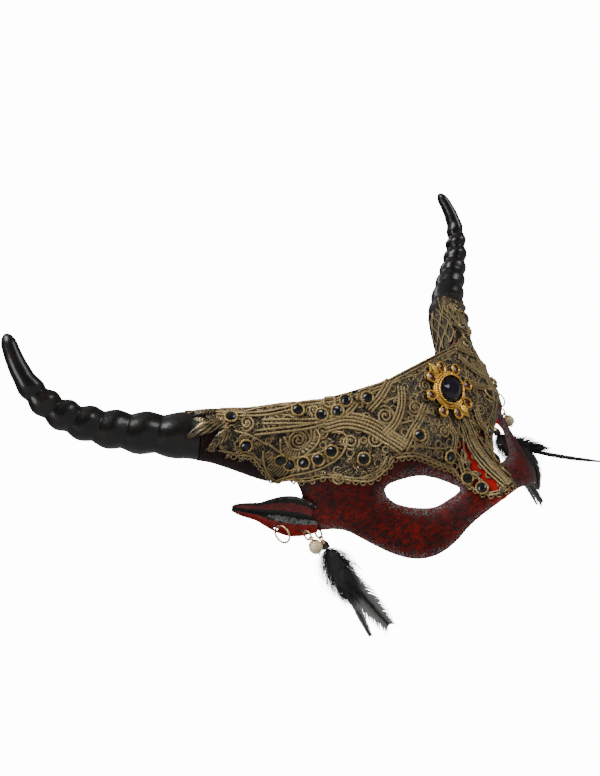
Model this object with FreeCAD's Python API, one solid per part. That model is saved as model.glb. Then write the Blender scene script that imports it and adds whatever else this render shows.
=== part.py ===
"""Horned masquerade half-mask with lace, stones, ears and feather drops (millimetres).

+X is the wearer's left, -Y faces forward and +Z is up. The origin lies on the wearer's face
at the bridge of the nose, half-way between the eyes. The mask is symmetric about the plane
x = 0, so every side piece is made once for the left side and mirrored for the right.
"""
import FreeCAD
import Part
import math
import os

V = FreeCAD.Vector

# ---- driving dimensions -------------------------------------------------------------------
WALL = 2.6                    # papier-mache wall of the face
HALF_WIDTH = 82.0             # plan ellipse of the face: half-axis across the wearer
HALF_DEPTH = 65.0             # plan ellipse of the face: half-axis front to back
SWEEP_DEG = 70.0              # the face runs this far round the ellipse on each side
TAB_SWEEP_DEG = 79.0          # and this far at the temple tab behind the ear
TAB_TOP = 20.0                # height where the tab ends
BRIDGE_Y = -6.0               # front of the face on the centre line, level with the eyes
FOREHEAD_BULGE = 3.5          # how much further forward the forehead stands
NOSE_HEIGHT = 11.0            # relief of the nose at its lower end
LACE_GAP = 0.15               # glue line between the shell and what sits on it
LACE_THICKNESS = 1.5          # height of the cord lace
STONE_R = 2.3                 # girdle radius of a small black stone
CUP_R = 3.0                   # outer radius of the cord ring round a stone
STONE_HEIGHT = 1.5
GEM_HALF = (8.5, 6.5)         # half-axes of the oval forehead stone
GEM_RISE = 3.0                # height of the forehead stone over its bezel's floor
GEM_HEIGHT = 34.0             # height of the forehead stone above the origin
BEZEL_WALL = 1.2
FRAME_LOOPS = 8               # wire loops round the forehead stone
LOOP_R = 2.2
FRAME_TILT_DEG = 12.0         # turn of the forehead ornament in its own plane
HORN_NECK_R = 10.8            # horn radius where it leaves the forehead's flare
RIDGES = 7                    # rings round the lower part of each horn
RIDGE_RELIEF = 1.1            # height of a ring over the horn's mean surface
TENON_R = 6.5                 # peg that holds a horn in its flare
TENON_LENGTH = 12.0
TENON_GAP = 0.1
EAR_BASE, EAR_TIP = V(75, 35, 9), V(104, 53, 34)
EAR_WALL = 1.8
EAR_HALF_WIDTH = 9.5
EAR_CUP = 5.5                 # depth of the ear's hollow
HOOP_HOLE = (0.47, 0.80)      # the hoop's hole: share of the ear's length and of its half-width
PEARL_HOLE = (0.15, 0.82)     # the pearl ring's hole, near the ear's base
RING_HOLE_R = 1.1             # holes that the hoop and the rings hang in
HOOP_R = 4.2                  # centre-line radius of the ear hoop
PEARL_RING_R = 2.3            # centre-line radius of the pearl's ring
TASSEL_RING_R = 2.9           # centre-line radius of the feather tassel's ring
WIRE_R = 0.45                 # wire radius of hoops and jump rings
PEARL_R = 3.3
TASSEL_HOLE = (71.0, 6.9)     # the tassel's hole in the temple: plan angle in degrees, height
TASSEL_LENGTH = 55.0          # from the tassel's ring to the feather tips
FLUFF_LENGTH = 30.0           # downy upper part of the tassel
TIE_HOLE = (75.5, 11.0)       # the ribbon's hole: plan angle in degrees, height
TIE_HOLE_R = 2.0

PEARL_PIN_R = 0.3
PIN_LOOP_R = 0.95             # loop of a pin or a crimp round its ring
CRIMP_R = 1.7                 # gold crimp that holds the feathers
CRIMP_LENGTH = 4.5
LONG_QUILL_LENGTH = 61.0      # the single quill that stands out of the left tassel
LACE_HALF_ANGLE_DEG = 33.0    # plan angle where the forehead lace meets the side lace

# lower and upper edge of the face as (distance from the centre plane, height)
LOWER_EDGE = [(0, -24.5), (12, -26), (25, -28), (37, -31), (47, -31), (55, -27), (62, -18.5), (67, -8.5),
              (71, -0.5), (76, 4), (80, 6)]
UPPER_EDGE = [(0, 53), (30, 53), (50, 56), (62, 58.5), (70, 57), (80, 50)]
# eye opening as (distance from the centre plane, height), from the inner corner round
EYE = [(16.5, -9.5), (22, -3), (30, 3.4), (41, 7.4), (51, 7.2), (50, 1.5), (43, -6.5), (36, -10.8), (25, -12)]
# lower edge of the forehead lace as (distance from the centre plane, height)
LACE_LOWER = [(0, -22), (6, -21.5), (11, -18.5), (14, -10), (17, -1), (22, 3.5), (28, 9), (36, 15), (48, 20)]
# outline of the left side lace seen from the front
SIDE_LACE_OUTLINE = [(40, 20), (62, 20), (78, 34), (96, 56), (108, 62), (90, 110), (40, 110)]
# small stones of the left half, seen from the front: (x, z)
CENTER_STONES = [(41.5, 49.5), (30, 22), (17, 6), (12.5, -8), (10, -15.5)]
SIDE_STONES = [(93, 71), (92.5, 57), (79.7, 43.5), (76.3, 39.5), (72.8, 36.6), (68.8, 34.8), (64, 35.2),
               (68.5, 59.5), (60.5, 52.6), (54.8, 50.5), (49.8, 53.2), (55.5, 25)]
# axis of the forehead's flare under each horn: (x, y, z, half-height, half-depth)
FLARE = [(46, 22.5, 34, 21, 10), (60, 29.8, 41.5, 22, 10), (72, 35.3, 48.8, 21, 9.5), (84, 41.2, 57.4, 17, 10),
         (94, 46, 65.3, 13.5, 11), (103, 50.1, 71.5, 11.8, 11.6)]
FLARE_THIN = V(0.66, -0.59, -0.47)    # direction in which the flare is thin
# control points of the horn's axis from the flare's end to the tip
HORN_AXIS = [(103, 50.1, 71.5), (147.5, 71.6, 98.7), (172.9, 55, 109.9), (163.8, 55.3, 148.6)]


def smooth_step(t):
    """S-curve from 0 to 1 between t = 0 and t = 1."""
    t = min(max(t, 0.0), 1.0)
    return t * t * (3 - 2 * t)


def bump(x, centre, width):
    """Bell of height 1 round a centre."""
    return math.exp(-((x - centre) / width) ** 2)


def profile(points, x):
    """Smooth height read from a row of (x, height) points; mirrored about x = 0."""
    x = abs(x)
    if x >= points[-1][0]:
        return points[-1][1]
    i = max(k for k in range(len(points) - 1) if points[k][0] <= x)
    (x0, h0), (x1, h1) = points[i], points[i + 1]
    before = points[i - 1][1] if i else points[1][1]
    after = points[min(i + 2, len(points) - 1)][1]
    t = (x - x0) / (x1 - x0)
    m0, m1 = (h1 - before) / 2, (after - h0) / 2
    return (2 * t**3 - 3 * t**2 + 1) * h0 + (t**3 - 2 * t**2 + t) * m0 \
        + (3 * t**2 - 2 * t**3) * h1 + (t**3 - t**2) * m1


def face_point(angle, z, lift=0.0):
    """Point of the face's outer surface at a plan angle (radians) and height.

    The plan is an ellipse. Along its outward normal the surface carries the nose, the brow,
    the eye socket and the cheek, each a smooth bell, plus a constant lift.
    """
    front = BRIDGE_Y - FOREHEAD_BULGE * bump(z, 34, 26)
    x = HALF_WIDTH * math.sin(angle)
    y = front + HALF_DEPTH * (1 - math.cos(angle))
    normal = V(math.sin(angle) / HALF_WIDTH, -math.cos(angle) / HALF_DEPTH, 0).normalize()
    side = abs(x)
    nose_width = 8.5 + 4.0 * smooth_step(-z / 28)
    relief = NOSE_HEIGHT * smooth_step((8 - z) / 38) * math.exp(-((side / nose_width) ** 2))
    relief += 3.0 * bump(z, 15 + 0.1 * side, 8) * bump(side, 30, 26)
    relief -= 4.0 * math.exp(-((side - 33) / 20) ** 2 - ((z + 2 - 0.3 * (side - 34)) / 11) ** 2)
    relief += 1.5 * bump(side, 42, 22) * bump(z, -22, 11)
    return V(x, y, z) + normal * (relief + lift)


def surface(rows):
    """B-spline face through a grid of points."""
    patch = Part.BSplineSurface()
    patch.interpolate(rows)
    return patch


def slab(outer, inner):
    """Closed solid between two grids of points of the same layout."""
    skins = [surface(outer), surface(inner)]
    faces = [skin.toShape() for skin in skins]
    for pick in (lambda s: s.uIso(0), lambda s: s.uIso(1), lambda s: s.vIso(0), lambda s: s.vIso(1)):
        top, bottom = (pick(skin).toShape() for skin in skins)
        faces.append(Part.makeRuledSurface(top, bottom))
    shell = Part.makeShell(faces)
    shell.sewShape()
    solid = Part.makeSolid(shell)
    if solid.Volume < 0:
        solid.reverse()
    return solid


def rear_sweep(z):
    """Plan angle of the mask's rear edge at a height: further back at the temple tab."""
    tab = smooth_step((TAB_TOP + 4 - z) / 8)
    return math.radians(SWEEP_DEG + (TAB_SWEEP_DEG - SWEEP_DEG) * tab)


def face_grid(lower, upper, sweep, lift, columns=41, rows=17):
    """Grid on the face between two edge functions of x, lifted off the outer surface.

    sweep gives the plan angle of the grid's side edges at a height.
    """
    grid = []
    for i in range(columns):
        share = 2 * i / (columns - 1) - 1
        side = HALF_WIDTH * math.sin(abs(share) * sweep(0))
        low, high = lower(side), upper(side)
        heights = [low + (high - low) * j / (rows - 1) for j in range(rows)]
        grid.append([face_point(share * sweep(z), z, lift) for z in heights])
    return grid


def lower_edge(side):
    return profile(LOWER_EDGE, side)


def upper_edge(side):
    return profile(UPPER_EDGE, side)


def mirror(shape):
    """The right-hand twin of a left-hand shape."""
    return shape.mirror(V(0, 0, 0), V(1, 0, 0))


def circle(centre, direction, radius):
    """Round wire at a point, square to a direction."""
    return Part.Wire(Part.Circle(centre, direction, radius).toShape())


def spine(points):
    """Interpolated curve through (x, y, z, ...) points."""
    curve = Part.BSplineCurve()
    curve.interpolate([V(*p[:3]) for p in points])
    return curve


def tangent_at(curve, u):
    direction = curve.tangent(u)
    return (direction[0] if isinstance(direction, tuple) else direction).normalize()


def oval(centre, tall, deep):
    """Closed curve round a centre through points of the ellipse with two half-axis vectors."""
    turns = [2 * math.pi * k / 16 for k in range(16)]
    curve = Part.BSplineCurve()
    curve.interpolate([centre + tall * math.cos(a) + deep * math.sin(a) for a in turns], True)
    return Part.Wire(curve.toShape())


def flare_loft(grow=0.0):
    """Oval cone of the left flare, its radii grown by a thickness."""
    curve = spine(FLARE)
    rings = []
    for x, y, z, tall, deep in FLARE:
        centre = V(x, y, z)
        along = tangent_at(curve, curve.parameter(centre))
        thin = (FLARE_THIN - along * FLARE_THIN.dot(along)).normalize()
        rings.append(oval(centre, along.cross(thin) * (tall + grow), thin * (deep + grow)))
    return Part.makeLoft(rings, True, False)


def horn_curve():
    curve = Part.BezierCurve()
    curve.setPoles([V(*p) for p in HORN_AXIS])
    return curve


def horn_radius(t):
    """Radius along the horn: a taper, a swelling in the middle, rings and a rounded tip."""
    taper = HORN_NECK_R * (1 - t) + 3.4 * t
    fade = smooth_step((0.80 - t) / 0.2) * smooth_step(t / 0.05)
    rings = RIDGE_RELIEF * math.cos(2 * math.pi * (RIDGES / 0.8) * t + math.pi) * fade
    tip = math.sqrt(max(1 - ((t - 0.96) / 0.04) ** 2, 0.02)) if t > 0.96 else 1.0
    return (taper + rings) * tip


def horn():
    """Left horn with the peg that sits in the flare."""
    curve = horn_curve()
    steps = [i / 60 * 0.96 for i in range(61)] + [0.975, 0.988, 0.996, 1.0]
    rings = [circle(curve.value(t), tangent_at(curve, t), horn_radius(t)) for t in steps]
    body = Part.makeLoft(rings, True, False).cut(flare_loft())
    start, along = curve.value(0), tangent_at(curve, 0)
    peg = Part.makeCylinder(TENON_R, TENON_LENGTH + 3, start - along * TENON_LENGTH, along)
    return body.fuse(peg)


def horn_bore():
    curve = horn_curve()
    start, along = curve.value(0), tangent_at(curve, 0)
    return Part.makeCylinder(TENON_R + TENON_GAP, TENON_LENGTH + 5, start - along * (TENON_LENGTH + 0.2), along)


def behind_face():
    """Everything behind the shell's inner surface, where the wearer's head is."""
    sweep = math.radians(TAB_SWEEP_DEG + 3)
    skin = surface(face_grid(lambda s: -60, lambda s: 110, lambda z: sweep, -WALL / 2, 33, 25)).toShape()
    return skin.extrude(V(0, 160, 0))


def eye_cutter():
    outline = Part.BSplineCurve()
    outline.interpolate([V(x, -60, z) for x, z in EYE], True)
    return Part.Face(Part.Wire(outline.toShape())).extrude(V(0, 110, 0))


def ear_frame():
    """Length and directions of the left ear: along it, across it and out of its hollow."""
    along = (EAR_TIP - EAR_BASE).normalize()
    facing = V(0.45, -0.87, 0.05)
    facing = (facing - along * facing.dot(along)).normalize()
    return (EAR_TIP - EAR_BASE).Length, along, along.cross(facing), facing


def ear_point(s, w, lift=0.0):
    """Cupped leaf: s runs from base to tip, w across it from -1 (top rim) to 1 (bottom rim)."""
    length, along, across, facing = ear_frame()
    swell = 0.55 + 0.45 * math.sin(math.pi * min(s / 0.7, 1.0))
    half = EAR_HALF_WIDTH * swell * math.sqrt(max(1 - s ** 2.2, 0.0)) + 0.35
    cup = EAR_CUP * w * w * half / EAR_HALF_WIDTH
    bend = 3.0 * s * s
    return EAR_BASE + along * (length * s) + across * (half * w) + facing * (cup + bend + lift)


def ear_hole(place):
    """Centre and axis of a hole square to the ear's wall."""
    s, w = place
    centre = (ear_point(s, w) + ear_point(s, w, EAR_WALL)) * 0.5
    step = 0.01
    along = ear_point(s + step, w) - ear_point(s - step, w)
    across = ear_point(s, w + step) - ear_point(s, w - step)
    return centre, along.cross(across).normalize()


def face_hole(place):
    """Centre and axis of a hole square to the face's wall."""
    angle, z = math.radians(place[0]), place[1]
    centre = face_point(angle, z, -WALL / 2)
    return centre, (face_point(angle, z, 1) - face_point(angle, z)).normalize()


def drill(hole, radius, depth=9.0):
    centre, axis = hole
    return Part.makeCylinder(radius, 2 * depth, centre - axis * depth, axis)


def ear():
    """Left ear: a curled leaf with two holes near its lower rim."""
    steps = [i / 20 * 0.985 for i in range(21)]
    across = [j / 6 - 1 for j in range(13)]
    front = [[ear_point(s, w, EAR_WALL) for w in across] for s in steps]
    back = [[ear_point(s, w) for w in across] for s in steps]
    leaf = slab(front, back)
    for place in (HOOP_HOLE, PEARL_HOLE):
        leaf = leaf.cut(drill(ear_hole(place), RING_HOLE_R, 5))
    return leaf.cut(seated_wall())


def hanging_ring(hole, radius):
    """Wire ring hanging in a hole, and its lowest point."""
    centre, axis = hole
    down = V(0, 0, -1)
    down = (down - axis * down.dot(axis)).normalize()
    middle = centre + down * radius
    return Part.makeTorus(radius, WIRE_R, middle, axis.cross(down)), middle + down * radius


# ---- shell, flares and lace ---------------------------------------------------------------
def face_sheet():
    """Wall of the face with its rear tabs."""
    return slab(face_grid(lower_edge, upper_edge, rear_sweep, 0),
                face_grid(lower_edge, upper_edge, rear_sweep, -WALL))


def left_flare():
    return flare_loft().cut(behind_face()).cut(horn_bore())


def seated_wall():
    """The face wall thickened by the glue line, for seating pieces on it."""
    return slab(face_grid(lower_edge, upper_edge, rear_sweep, LACE_GAP),
                face_grid(lower_edge, upper_edge, rear_sweep, -WALL - LACE_GAP))


def mask_shell():
    """Face wall with both flares, the eye openings, the tie holes and the tassel holes."""
    shell = face_sheet()
    flare, cutters = left_flare(), [eye_cutter()]
    cutters.append(drill(face_hole(TIE_HOLE), TIE_HOLE_R))
    cutters.append(drill(face_hole(TASSEL_HOLE), RING_HOLE_R))
    for side in (lambda shape: shape, mirror):
        shell = shell.fuse(side(flare))
        for cutter in cutters:
            shell = shell.cut(side(cutter))
    return shell


def lace_edge(side):
    return profile(LACE_LOWER, side)


def forehead_grid(lift):
    """Grid of the forehead lace: down to the nose tip, up to just below the mask's top edge."""
    sweep = math.radians(LACE_HALF_ANGLE_DEG)
    return face_grid(lace_edge, lambda side: upper_edge(side) - 0.5, lambda z: sweep, lift, 61, 13)


def temple_grid(lift):
    """Grid of the side lace where it lies on the face, from the forehead lace to the rear edge."""
    start, end = math.radians(LACE_HALF_ANGLE_DEG) + 0.005, math.radians(SWEEP_DEG - 1)
    steps = [start + (end - start) * i / 20 for i in range(21)]
    heights = [18 + 38 * j / 8 for j in range(9)]
    return [[face_point(angle, z, lift) for z in heights] for angle in steps]


def side_lace():
    """Cord lace from the left temple out over the flare to the foot of the horn."""
    outline = Part.makePolygon([V(x, -60, z) for x, z in SIDE_LACE_OUTLINE + SIDE_LACE_OUTLINE[:1]])
    region = Part.Face(outline).extrude(V(0, 200, 0))
    top = LACE_GAP + LACE_THICKNESS
    skin = slab(temple_grid(top), temple_grid(LACE_GAP)).cut(flare_loft(top))
    sleeve = flare_loft(top).cut(flare_loft(LACE_GAP)).cut(behind_face())
    pieces = [skin, sleeve.cut(seated_wall())]
    return Part.makeCompound([piece.common(region) for piece in pieces])


# ---- stones and the forehead ornament -----------------------------------------------------
def seat_on(skins, x, z):
    """Frontmost point of some surfaces on the line of sight at (x, z), and its outward direction."""
    def front(px, pz):
        sight = Part.Line(V(px, -60, pz), V(px, 120, pz))
        hits = [point for skin in skins for point in sight.intersectCS(skin)[0]]
        return min((V(hit.X, hit.Y, hit.Z) for hit in hits), key=lambda point: point.y)
    reach = 1.5
    across = front(x + reach, z) - front(x - reach, z)
    upward = front(x, z + reach) - front(x, z - reach)
    outward = upward.cross(across).normalize()
    return front(x, z), outward if outward.y < 0 else outward * -1


def widest_skin(shape):
    """Surface of a solid's largest face."""
    return max(shape.Faces, key=lambda face: face.Area).Surface


def stone(seat, outward):
    """Small round stone: a low drum with a cut top."""
    table = STONE_R * 0.55
    drum = Part.makeCylinder(STONE_R, STONE_HEIGHT * 0.5, seat, outward)
    crown = Part.makeCone(STONE_R, table, STONE_HEIGHT * 0.5, seat + outward * (STONE_HEIGHT * 0.5), outward)
    return drum.fuse(crown)


def stone_ring(seat, outward):
    """Cord ring round a stone."""
    ring = Part.makeCylinder(CUP_R, STONE_HEIGHT * 0.6, seat, outward)
    return ring.cut(Part.makeCylinder(STONE_R + 0.05, 6, seat - outward * 3, outward))


def stone_group(skins, places, lift=0.6):
    """Stones and their rings at places on some surfaces, as two groups of solids."""
    seats = [seat_on(skins, x, z) for x, z in places]
    seats = [(point + outward * lift, outward) for point, outward in seats]
    return Part.makeCompound([stone(*seat) for seat in seats]), Part.makeCompound([stone_ring(*seat) for seat in seats])


def ornament_directions():
    """Long and short direction of the forehead stone."""
    tilt = math.radians(FRAME_TILT_DEG)
    return V(math.cos(tilt), 0, math.sin(tilt)), V(-math.sin(tilt), 0, math.cos(tilt))


def gem_section(grow, y):
    wide, tall = ornament_directions()
    centre = V(0, y, GEM_HEIGHT)
    return oval(centre, wide * (GEM_HALF[0] + grow), tall * (GEM_HALF[1] + grow))


def medallion_frame(back):
    """Bezel with a floor, a crown of wire loops and two pointed leaves."""
    body = Part.Face(gem_section(BEZEL_WALL, back)).extrude(V(0, -2.4, 0))
    body = body.cut(Part.Face(gem_section(0.05, back - 0.8)).extrude(V(0, -5, 0)))
    wide, tall = ornament_directions()
    centre = V(0, back - 0.8, GEM_HEIGHT)
    for k in range(FRAME_LOOPS):
        turn = 2 * math.pi * (k + 0.5) / FRAME_LOOPS
        reach = LOOP_R + BEZEL_WALL * 0.7
        spot = wide * ((GEM_HALF[0] + reach) * math.cos(turn)) + tall * ((GEM_HALF[1] + reach) * math.sin(turn))
        body = body.fuse(Part.makeTorus(LOOP_R, 0.75, centre + spot, V(0, 1, 0)))
    for end in (1, -1):
        leaf = [centre + tall * (end * GEM_HALF[1]) + wide * 4, centre + tall * (end * (GEM_HALF[1] + 8)),
                centre + tall * (end * GEM_HALF[1]) - wide * 4]
        point = Part.Face(Part.makePolygon(leaf + leaf[:1])).extrude(V(0, 0.65, 0))
        body = body.fuse(point.translated(V(0, -0.15, 0)))
    return body


def medallion_gem(back):
    """Oval stone with a flat table, standing in the bezel."""
    floor = back - 0.85
    levels = [(-0.3, 0.0), (0.0, 1.2), (-1.2, 2.1), (-3.2, GEM_RISE)]
    return Part.makeLoft([gem_section(grow, floor - rise) for grow, rise in levels], True, True)


# ---- what hangs --------------------------------------------------------------------------
def ear_hoop():
    return hanging_ring(ear_hole(HOOP_HOLE), HOOP_R)[0]


def pin_loop(bottom, hole, wire):
    """Small loop round a ring's wire at its lowest point."""
    return Part.makeTorus(PIN_LOOP_R, wire, bottom - V(0, 0, 0.15), hole[1])


def pearl_drop():
    """Pearl on a pin that hangs from its own ring: ring, pin and pearl."""
    hole = ear_hole(PEARL_HOLE)
    ring, bottom = hanging_ring(hole, PEARL_RING_R)
    top = bottom - V(0, 0, 0.15 + PIN_LOOP_R)
    length = 2 * PEARL_R + 0.6
    pin = pin_loop(bottom, hole, PEARL_PIN_R + 0.05)
    pin = pin.fuse(Part.makeCylinder(0.5, 0.5, top + V(0, 0, 0.15), V(0, 0, -1)))
    pin = pin.fuse(Part.makeCylinder(PEARL_PIN_R, length + 0.2, top - V(0, 0, 0.2), V(0, 0, -1)))
    pin = pin.fuse(Part.makeCylinder(0.8, 0.4, top - V(0, 0, length), V(0, 0, -1)))
    pearl = Part.makeSphere(PEARL_R, top - V(0, 0, 0.35 + PEARL_R))
    pearl = pearl.cut(Part.makeCylinder(PEARL_PIN_R + 0.1, 20, top, V(0, 0, -1)))
    return ring, pin, pearl


def tassel():
    """Feather tassel: ring, crimp with its loop, downy part and quill feathers."""
    hole = face_hole(TASSEL_HOLE)
    ring, bottom = hanging_ring(hole, TASSEL_RING_R)
    top = bottom - V(0, 0, 0.15 + PIN_LOOP_R)
    crimp = pin_loop(bottom, hole, 0.35).fuse(Part.makeCone(0.8, CRIMP_R, 1.5, top, V(0, 0, -1)))
    crimp = crimp.fuse(Part.makeCylinder(CRIMP_R, CRIMP_LENGTH - 1.5, top - V(0, 0, 1.5), V(0, 0, -1)))
    edge = V(-hole[1].y, hole[1].x, 0)
    def section(drop, wide, deep):
        return oval(top - V(0, 0, drop), edge * wide, hole[1] * deep)
    start = CRIMP_LENGTH + 0.05
    fluff = [(start, 1.6, 1.6), (start + 4, 3.6, 3.6), (14, 5.6, 5.4), (24, 6.2, 5.4), (FLUFF_LENGTH, 4.0, 3.0)]
    quills = [(FLUFF_LENGTH + 0.1, 3.6, 1.4), (38, 7.0, 1.8), (46, 9.0, 1.8), (TASSEL_LENGTH - 2, 7.5, 1.2)]
    return ring, crimp, *(Part.makeLoft([section(*row) for row in rows], True, False) for rows in (fluff, quills))


def long_quill(fluff):
    """Single thin quill standing out of the left tassel."""
    start = fluff.BoundBox.Center + V(0, 0, 10)
    direction = V(0.585, -0.518, -0.618)
    quill = Part.makeCone(1.0, 0.4, LONG_QUILL_LENGTH, start, direction)
    return quill.cut(fluff)


def main():
    shell, left_lace, top = mask_shell(), side_lace(), LACE_GAP + LACE_THICKNESS
    forehead_lace = slab(forehead_grid(top), forehead_grid(LACE_GAP)).cut(shell)
    front = face_point(0, GEM_HEIGHT, top).y - 0.1
    mirrored = [(-x, z) for x, z in CENTER_STONES]
    stones, rings = stone_group([surface(forehead_grid(top))], CENTER_STONES + mirrored)
    side_stones, side_rings = stone_group([surface(temple_grid(top)), widest_skin(flare_loft(top))], SIDE_STONES)
    nodes = {"mask_shell": shell, "lace_forehead": forehead_lace, "stones_forehead": stones,
             "stone_rings_forehead": rings, "medallion_frame": medallion_frame(front),
             "medallion_gem": medallion_gem(front)}
    hoop, (pearl_ring, pin, pearl), (ring, crimp, fluff, quills) = ear_hoop(), pearl_drop(), tassel()
    left = {"horn": horn(), "ear": ear(), "lace": left_lace, "stones": side_stones, "stone_rings": side_rings,
            "ear_hoop": hoop, "pearl_ring": pearl_ring, "pearl_pin": pin, "pearl": pearl, "tassel_ring": ring,
            "tassel_crimp": crimp, "tassel_fluff": fluff, "tassel_quills": quills}
    for name, shape in left.items():
        nodes[name + "_left"] = shape
        nodes[name + "_right"] = mirror(shape)
    nodes["tassel_long_quill_left"] = long_quill(fluff)
    os.makedirs("parts", exist_ok=True)
    for name, shape in nodes.items():
        print(f"{name:28s} solids {len(shape.Solids):3d}  volume {shape.Volume:9.1f} mm3  valid {shape.isValid()}")
        shape.exportStep(f"parts/{name}.step")


main()
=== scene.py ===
"""Horned masquerade half-mask with cord lace, stones, ears, pearl drops and feather tassels.

Every surface is worked out with numpy as a function of two parameters, in the mask's own frame:
+X to the wearer's left, -Y forwards, +Z up. Sizes inside this file are millimetres.
"""
import math

import bmesh
import bpy
import numpy as np
from bpy.props import FloatProperty, FloatVectorProperty, IntProperty, PointerProperty
from mathutils import Matrix, Vector


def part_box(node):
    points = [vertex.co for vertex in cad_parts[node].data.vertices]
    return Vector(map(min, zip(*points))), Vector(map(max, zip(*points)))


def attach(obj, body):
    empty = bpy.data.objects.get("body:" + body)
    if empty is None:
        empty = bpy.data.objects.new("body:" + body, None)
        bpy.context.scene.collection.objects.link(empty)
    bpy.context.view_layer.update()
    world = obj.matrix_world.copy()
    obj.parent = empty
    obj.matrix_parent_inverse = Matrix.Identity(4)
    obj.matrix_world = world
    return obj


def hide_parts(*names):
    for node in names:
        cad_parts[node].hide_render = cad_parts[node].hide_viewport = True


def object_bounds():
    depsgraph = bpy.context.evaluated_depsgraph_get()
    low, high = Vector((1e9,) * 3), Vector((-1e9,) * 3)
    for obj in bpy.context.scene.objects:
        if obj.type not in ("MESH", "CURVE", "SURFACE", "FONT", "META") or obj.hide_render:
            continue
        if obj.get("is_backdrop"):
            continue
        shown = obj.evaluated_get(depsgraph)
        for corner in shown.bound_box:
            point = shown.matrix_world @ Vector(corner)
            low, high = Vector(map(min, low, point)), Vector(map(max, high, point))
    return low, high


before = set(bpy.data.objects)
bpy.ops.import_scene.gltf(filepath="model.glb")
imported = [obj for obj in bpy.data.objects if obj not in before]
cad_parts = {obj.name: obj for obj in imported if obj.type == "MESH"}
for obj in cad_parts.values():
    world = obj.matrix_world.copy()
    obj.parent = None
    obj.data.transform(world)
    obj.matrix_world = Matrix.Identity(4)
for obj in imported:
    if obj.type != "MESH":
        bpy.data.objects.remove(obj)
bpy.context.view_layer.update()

bl_info = {
    "name": "Horned Mask",
    "version": (1, 0, 0),
    "blender": (4, 5, 0),
    "location": "View3D > Sidebar > Mask",
    "description": "Builds the painted shell, horns, ears, cord lace, stones and feather tassels of the mask",
    "category": "Add Mesh",
}

MM = 0.001
SIDES = {"left": 1, "right": -1}

# ---- the mask's own sizes -----------------------------------------------------------------
HALF_WIDTH = 82.0             # half axis of the face's plan curve, across
HALF_DEPTH = 65.0             # half axis of the face's plan curve, front to back
BRIDGE_Y = -6.0               # how far the bridge of the nose stands forwards
WALL = 2.6
SWEEP = math.radians(70)
EYE = [(16.5, -9.5), (22, -3), (30, 3.4), (41, 7.4), (51, 7.2), (50, 1.5), (43, -6.5), (36, -10.8), (25, -12)]
UPPER_EDGE = np.array([(0, 53), (30, 53), (50, 56), (62, 58.5), (70, 57), (80, 50), (82, 40), (90, 0)], float)
LOWER_EDGE = [(0, -24.5), (12, -26), (25, -28), (37, -31), (47, -31), (55, -27), (62, -18.5), (67, -8.5),
              (71, -0.5), (76, 4), (80, 6)]
FLARE = [(46, 22.5, 34, 21, 10), (60, 29.8, 41.5, 22, 10), (72, 35.3, 48.8, 21, 9.5),
         (84, 41.2, 57.4, 17, 10),
         (94, 46, 65.3, 13.5, 11), (103, 50.1, 71.5, 11.8, 11.6)]
FLARE_THIN = np.array([0.66, -0.59, -0.47])
HORN_AXIS = np.array([(103, 50.1, 71.5), (147.5, 71.6, 98.7), (172.9, 55, 109.9), (163.8, 55.3, 148.6)])
EAR_BASE, EAR_TIP = np.array([75.0, 35, 9]), np.array([104.0, 53, 34])
LACE_LIFT = 0.15              # gap between the painted wall and the back of the lace
GEM_CENTRE_Z, GEM_TILT = 34.0, math.radians(12)
GEM_HALF = (8.5, 6.5)
CENTER_STONES = [(41.5, 49.5), (30, 22), (17, 6), (12.5, -8), (10, -15.5)]
SIDE_STONES = [(93, 71), (92.5, 57), (79.7, 43.5), (76.3, 39.5), (72.8, 36.6), (68.8, 34.8), (64, 35.2),
               (68.5, 59.5), (60.5, 52.6), (54.8, 50.5), (49.8, 53.2), (55.5, 25)]


HORN_FOOT, HORN_TIP = 10.8, 3.4         # the horn's radii
HORN_SWELLINGS, HORN_SIDES = 8.75, 80
HORN_ROUNDED = 0.95           # share of the horn's length at which its tip starts to round off
EAR_FACING = np.array([0.45, -0.87, 0.05])
EAR_HALF = 9.5                # half the ear's width before it narrows
TASSEL_FAN = (0.398, 0.917)   # direction across the flat feathers, in plan
# each flat feather's lean, offset, length and barb length
FEATHERS = ((0.04, 0.5, 47, 3.4), (-0.25, -0.8, 45, 9.5), (-0.10, 1.2, 38, 7.0))
DOWN_LENGTH = 19.0            # how far the down's core hangs below the neck
LEFT_CORE = np.array([0.30, -0.27, -0.80])
PLUMB = np.array([0.0, 0.0, -1.0])
LONG_QUILL = np.array([0.585, -0.518, -0.618])
LONG_QUILL_LENGTH = 58.0
BESIDE_QUILL = np.array([0.748, -0.664, 0.0])
FLOOR_DROP = 45.0             # how far the floor lies below the lowest part
BACKDROP = np.array([(0, 0), (1300, 0), (1550, 30), (1750, 130), (1880, 300), (1950, 550), (1980, 2200)])
CAMERA_PLACE, CAMERA_AHEAD = (-0.3594, -0.3192, 0.0463), (0.664, 0.748, 0.05)   # metres
CAMERA_ROLL, CAMERA_LENS = math.radians(-28.1), 43.9
LAMPS_AIM = (0, 0.02, 0.04)   # metres
# each lamp's name, its place and size in metres, and its power in watts
LAMPS = (("top", (-0.35, -0.25, 0.9), 0.5, 8.5), ("left", (-1.05, -0.1, 0.25), 0.4, 3.6),
         ("right", (0.7, -0.95, 0.3), 0.5, 4.4), ("rear", (0.3, 0.75, 1.1), 0.4, 1.8))
WORLD_LIGHT, BACKDROP_GLOW = 0.27, 14.0


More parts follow.
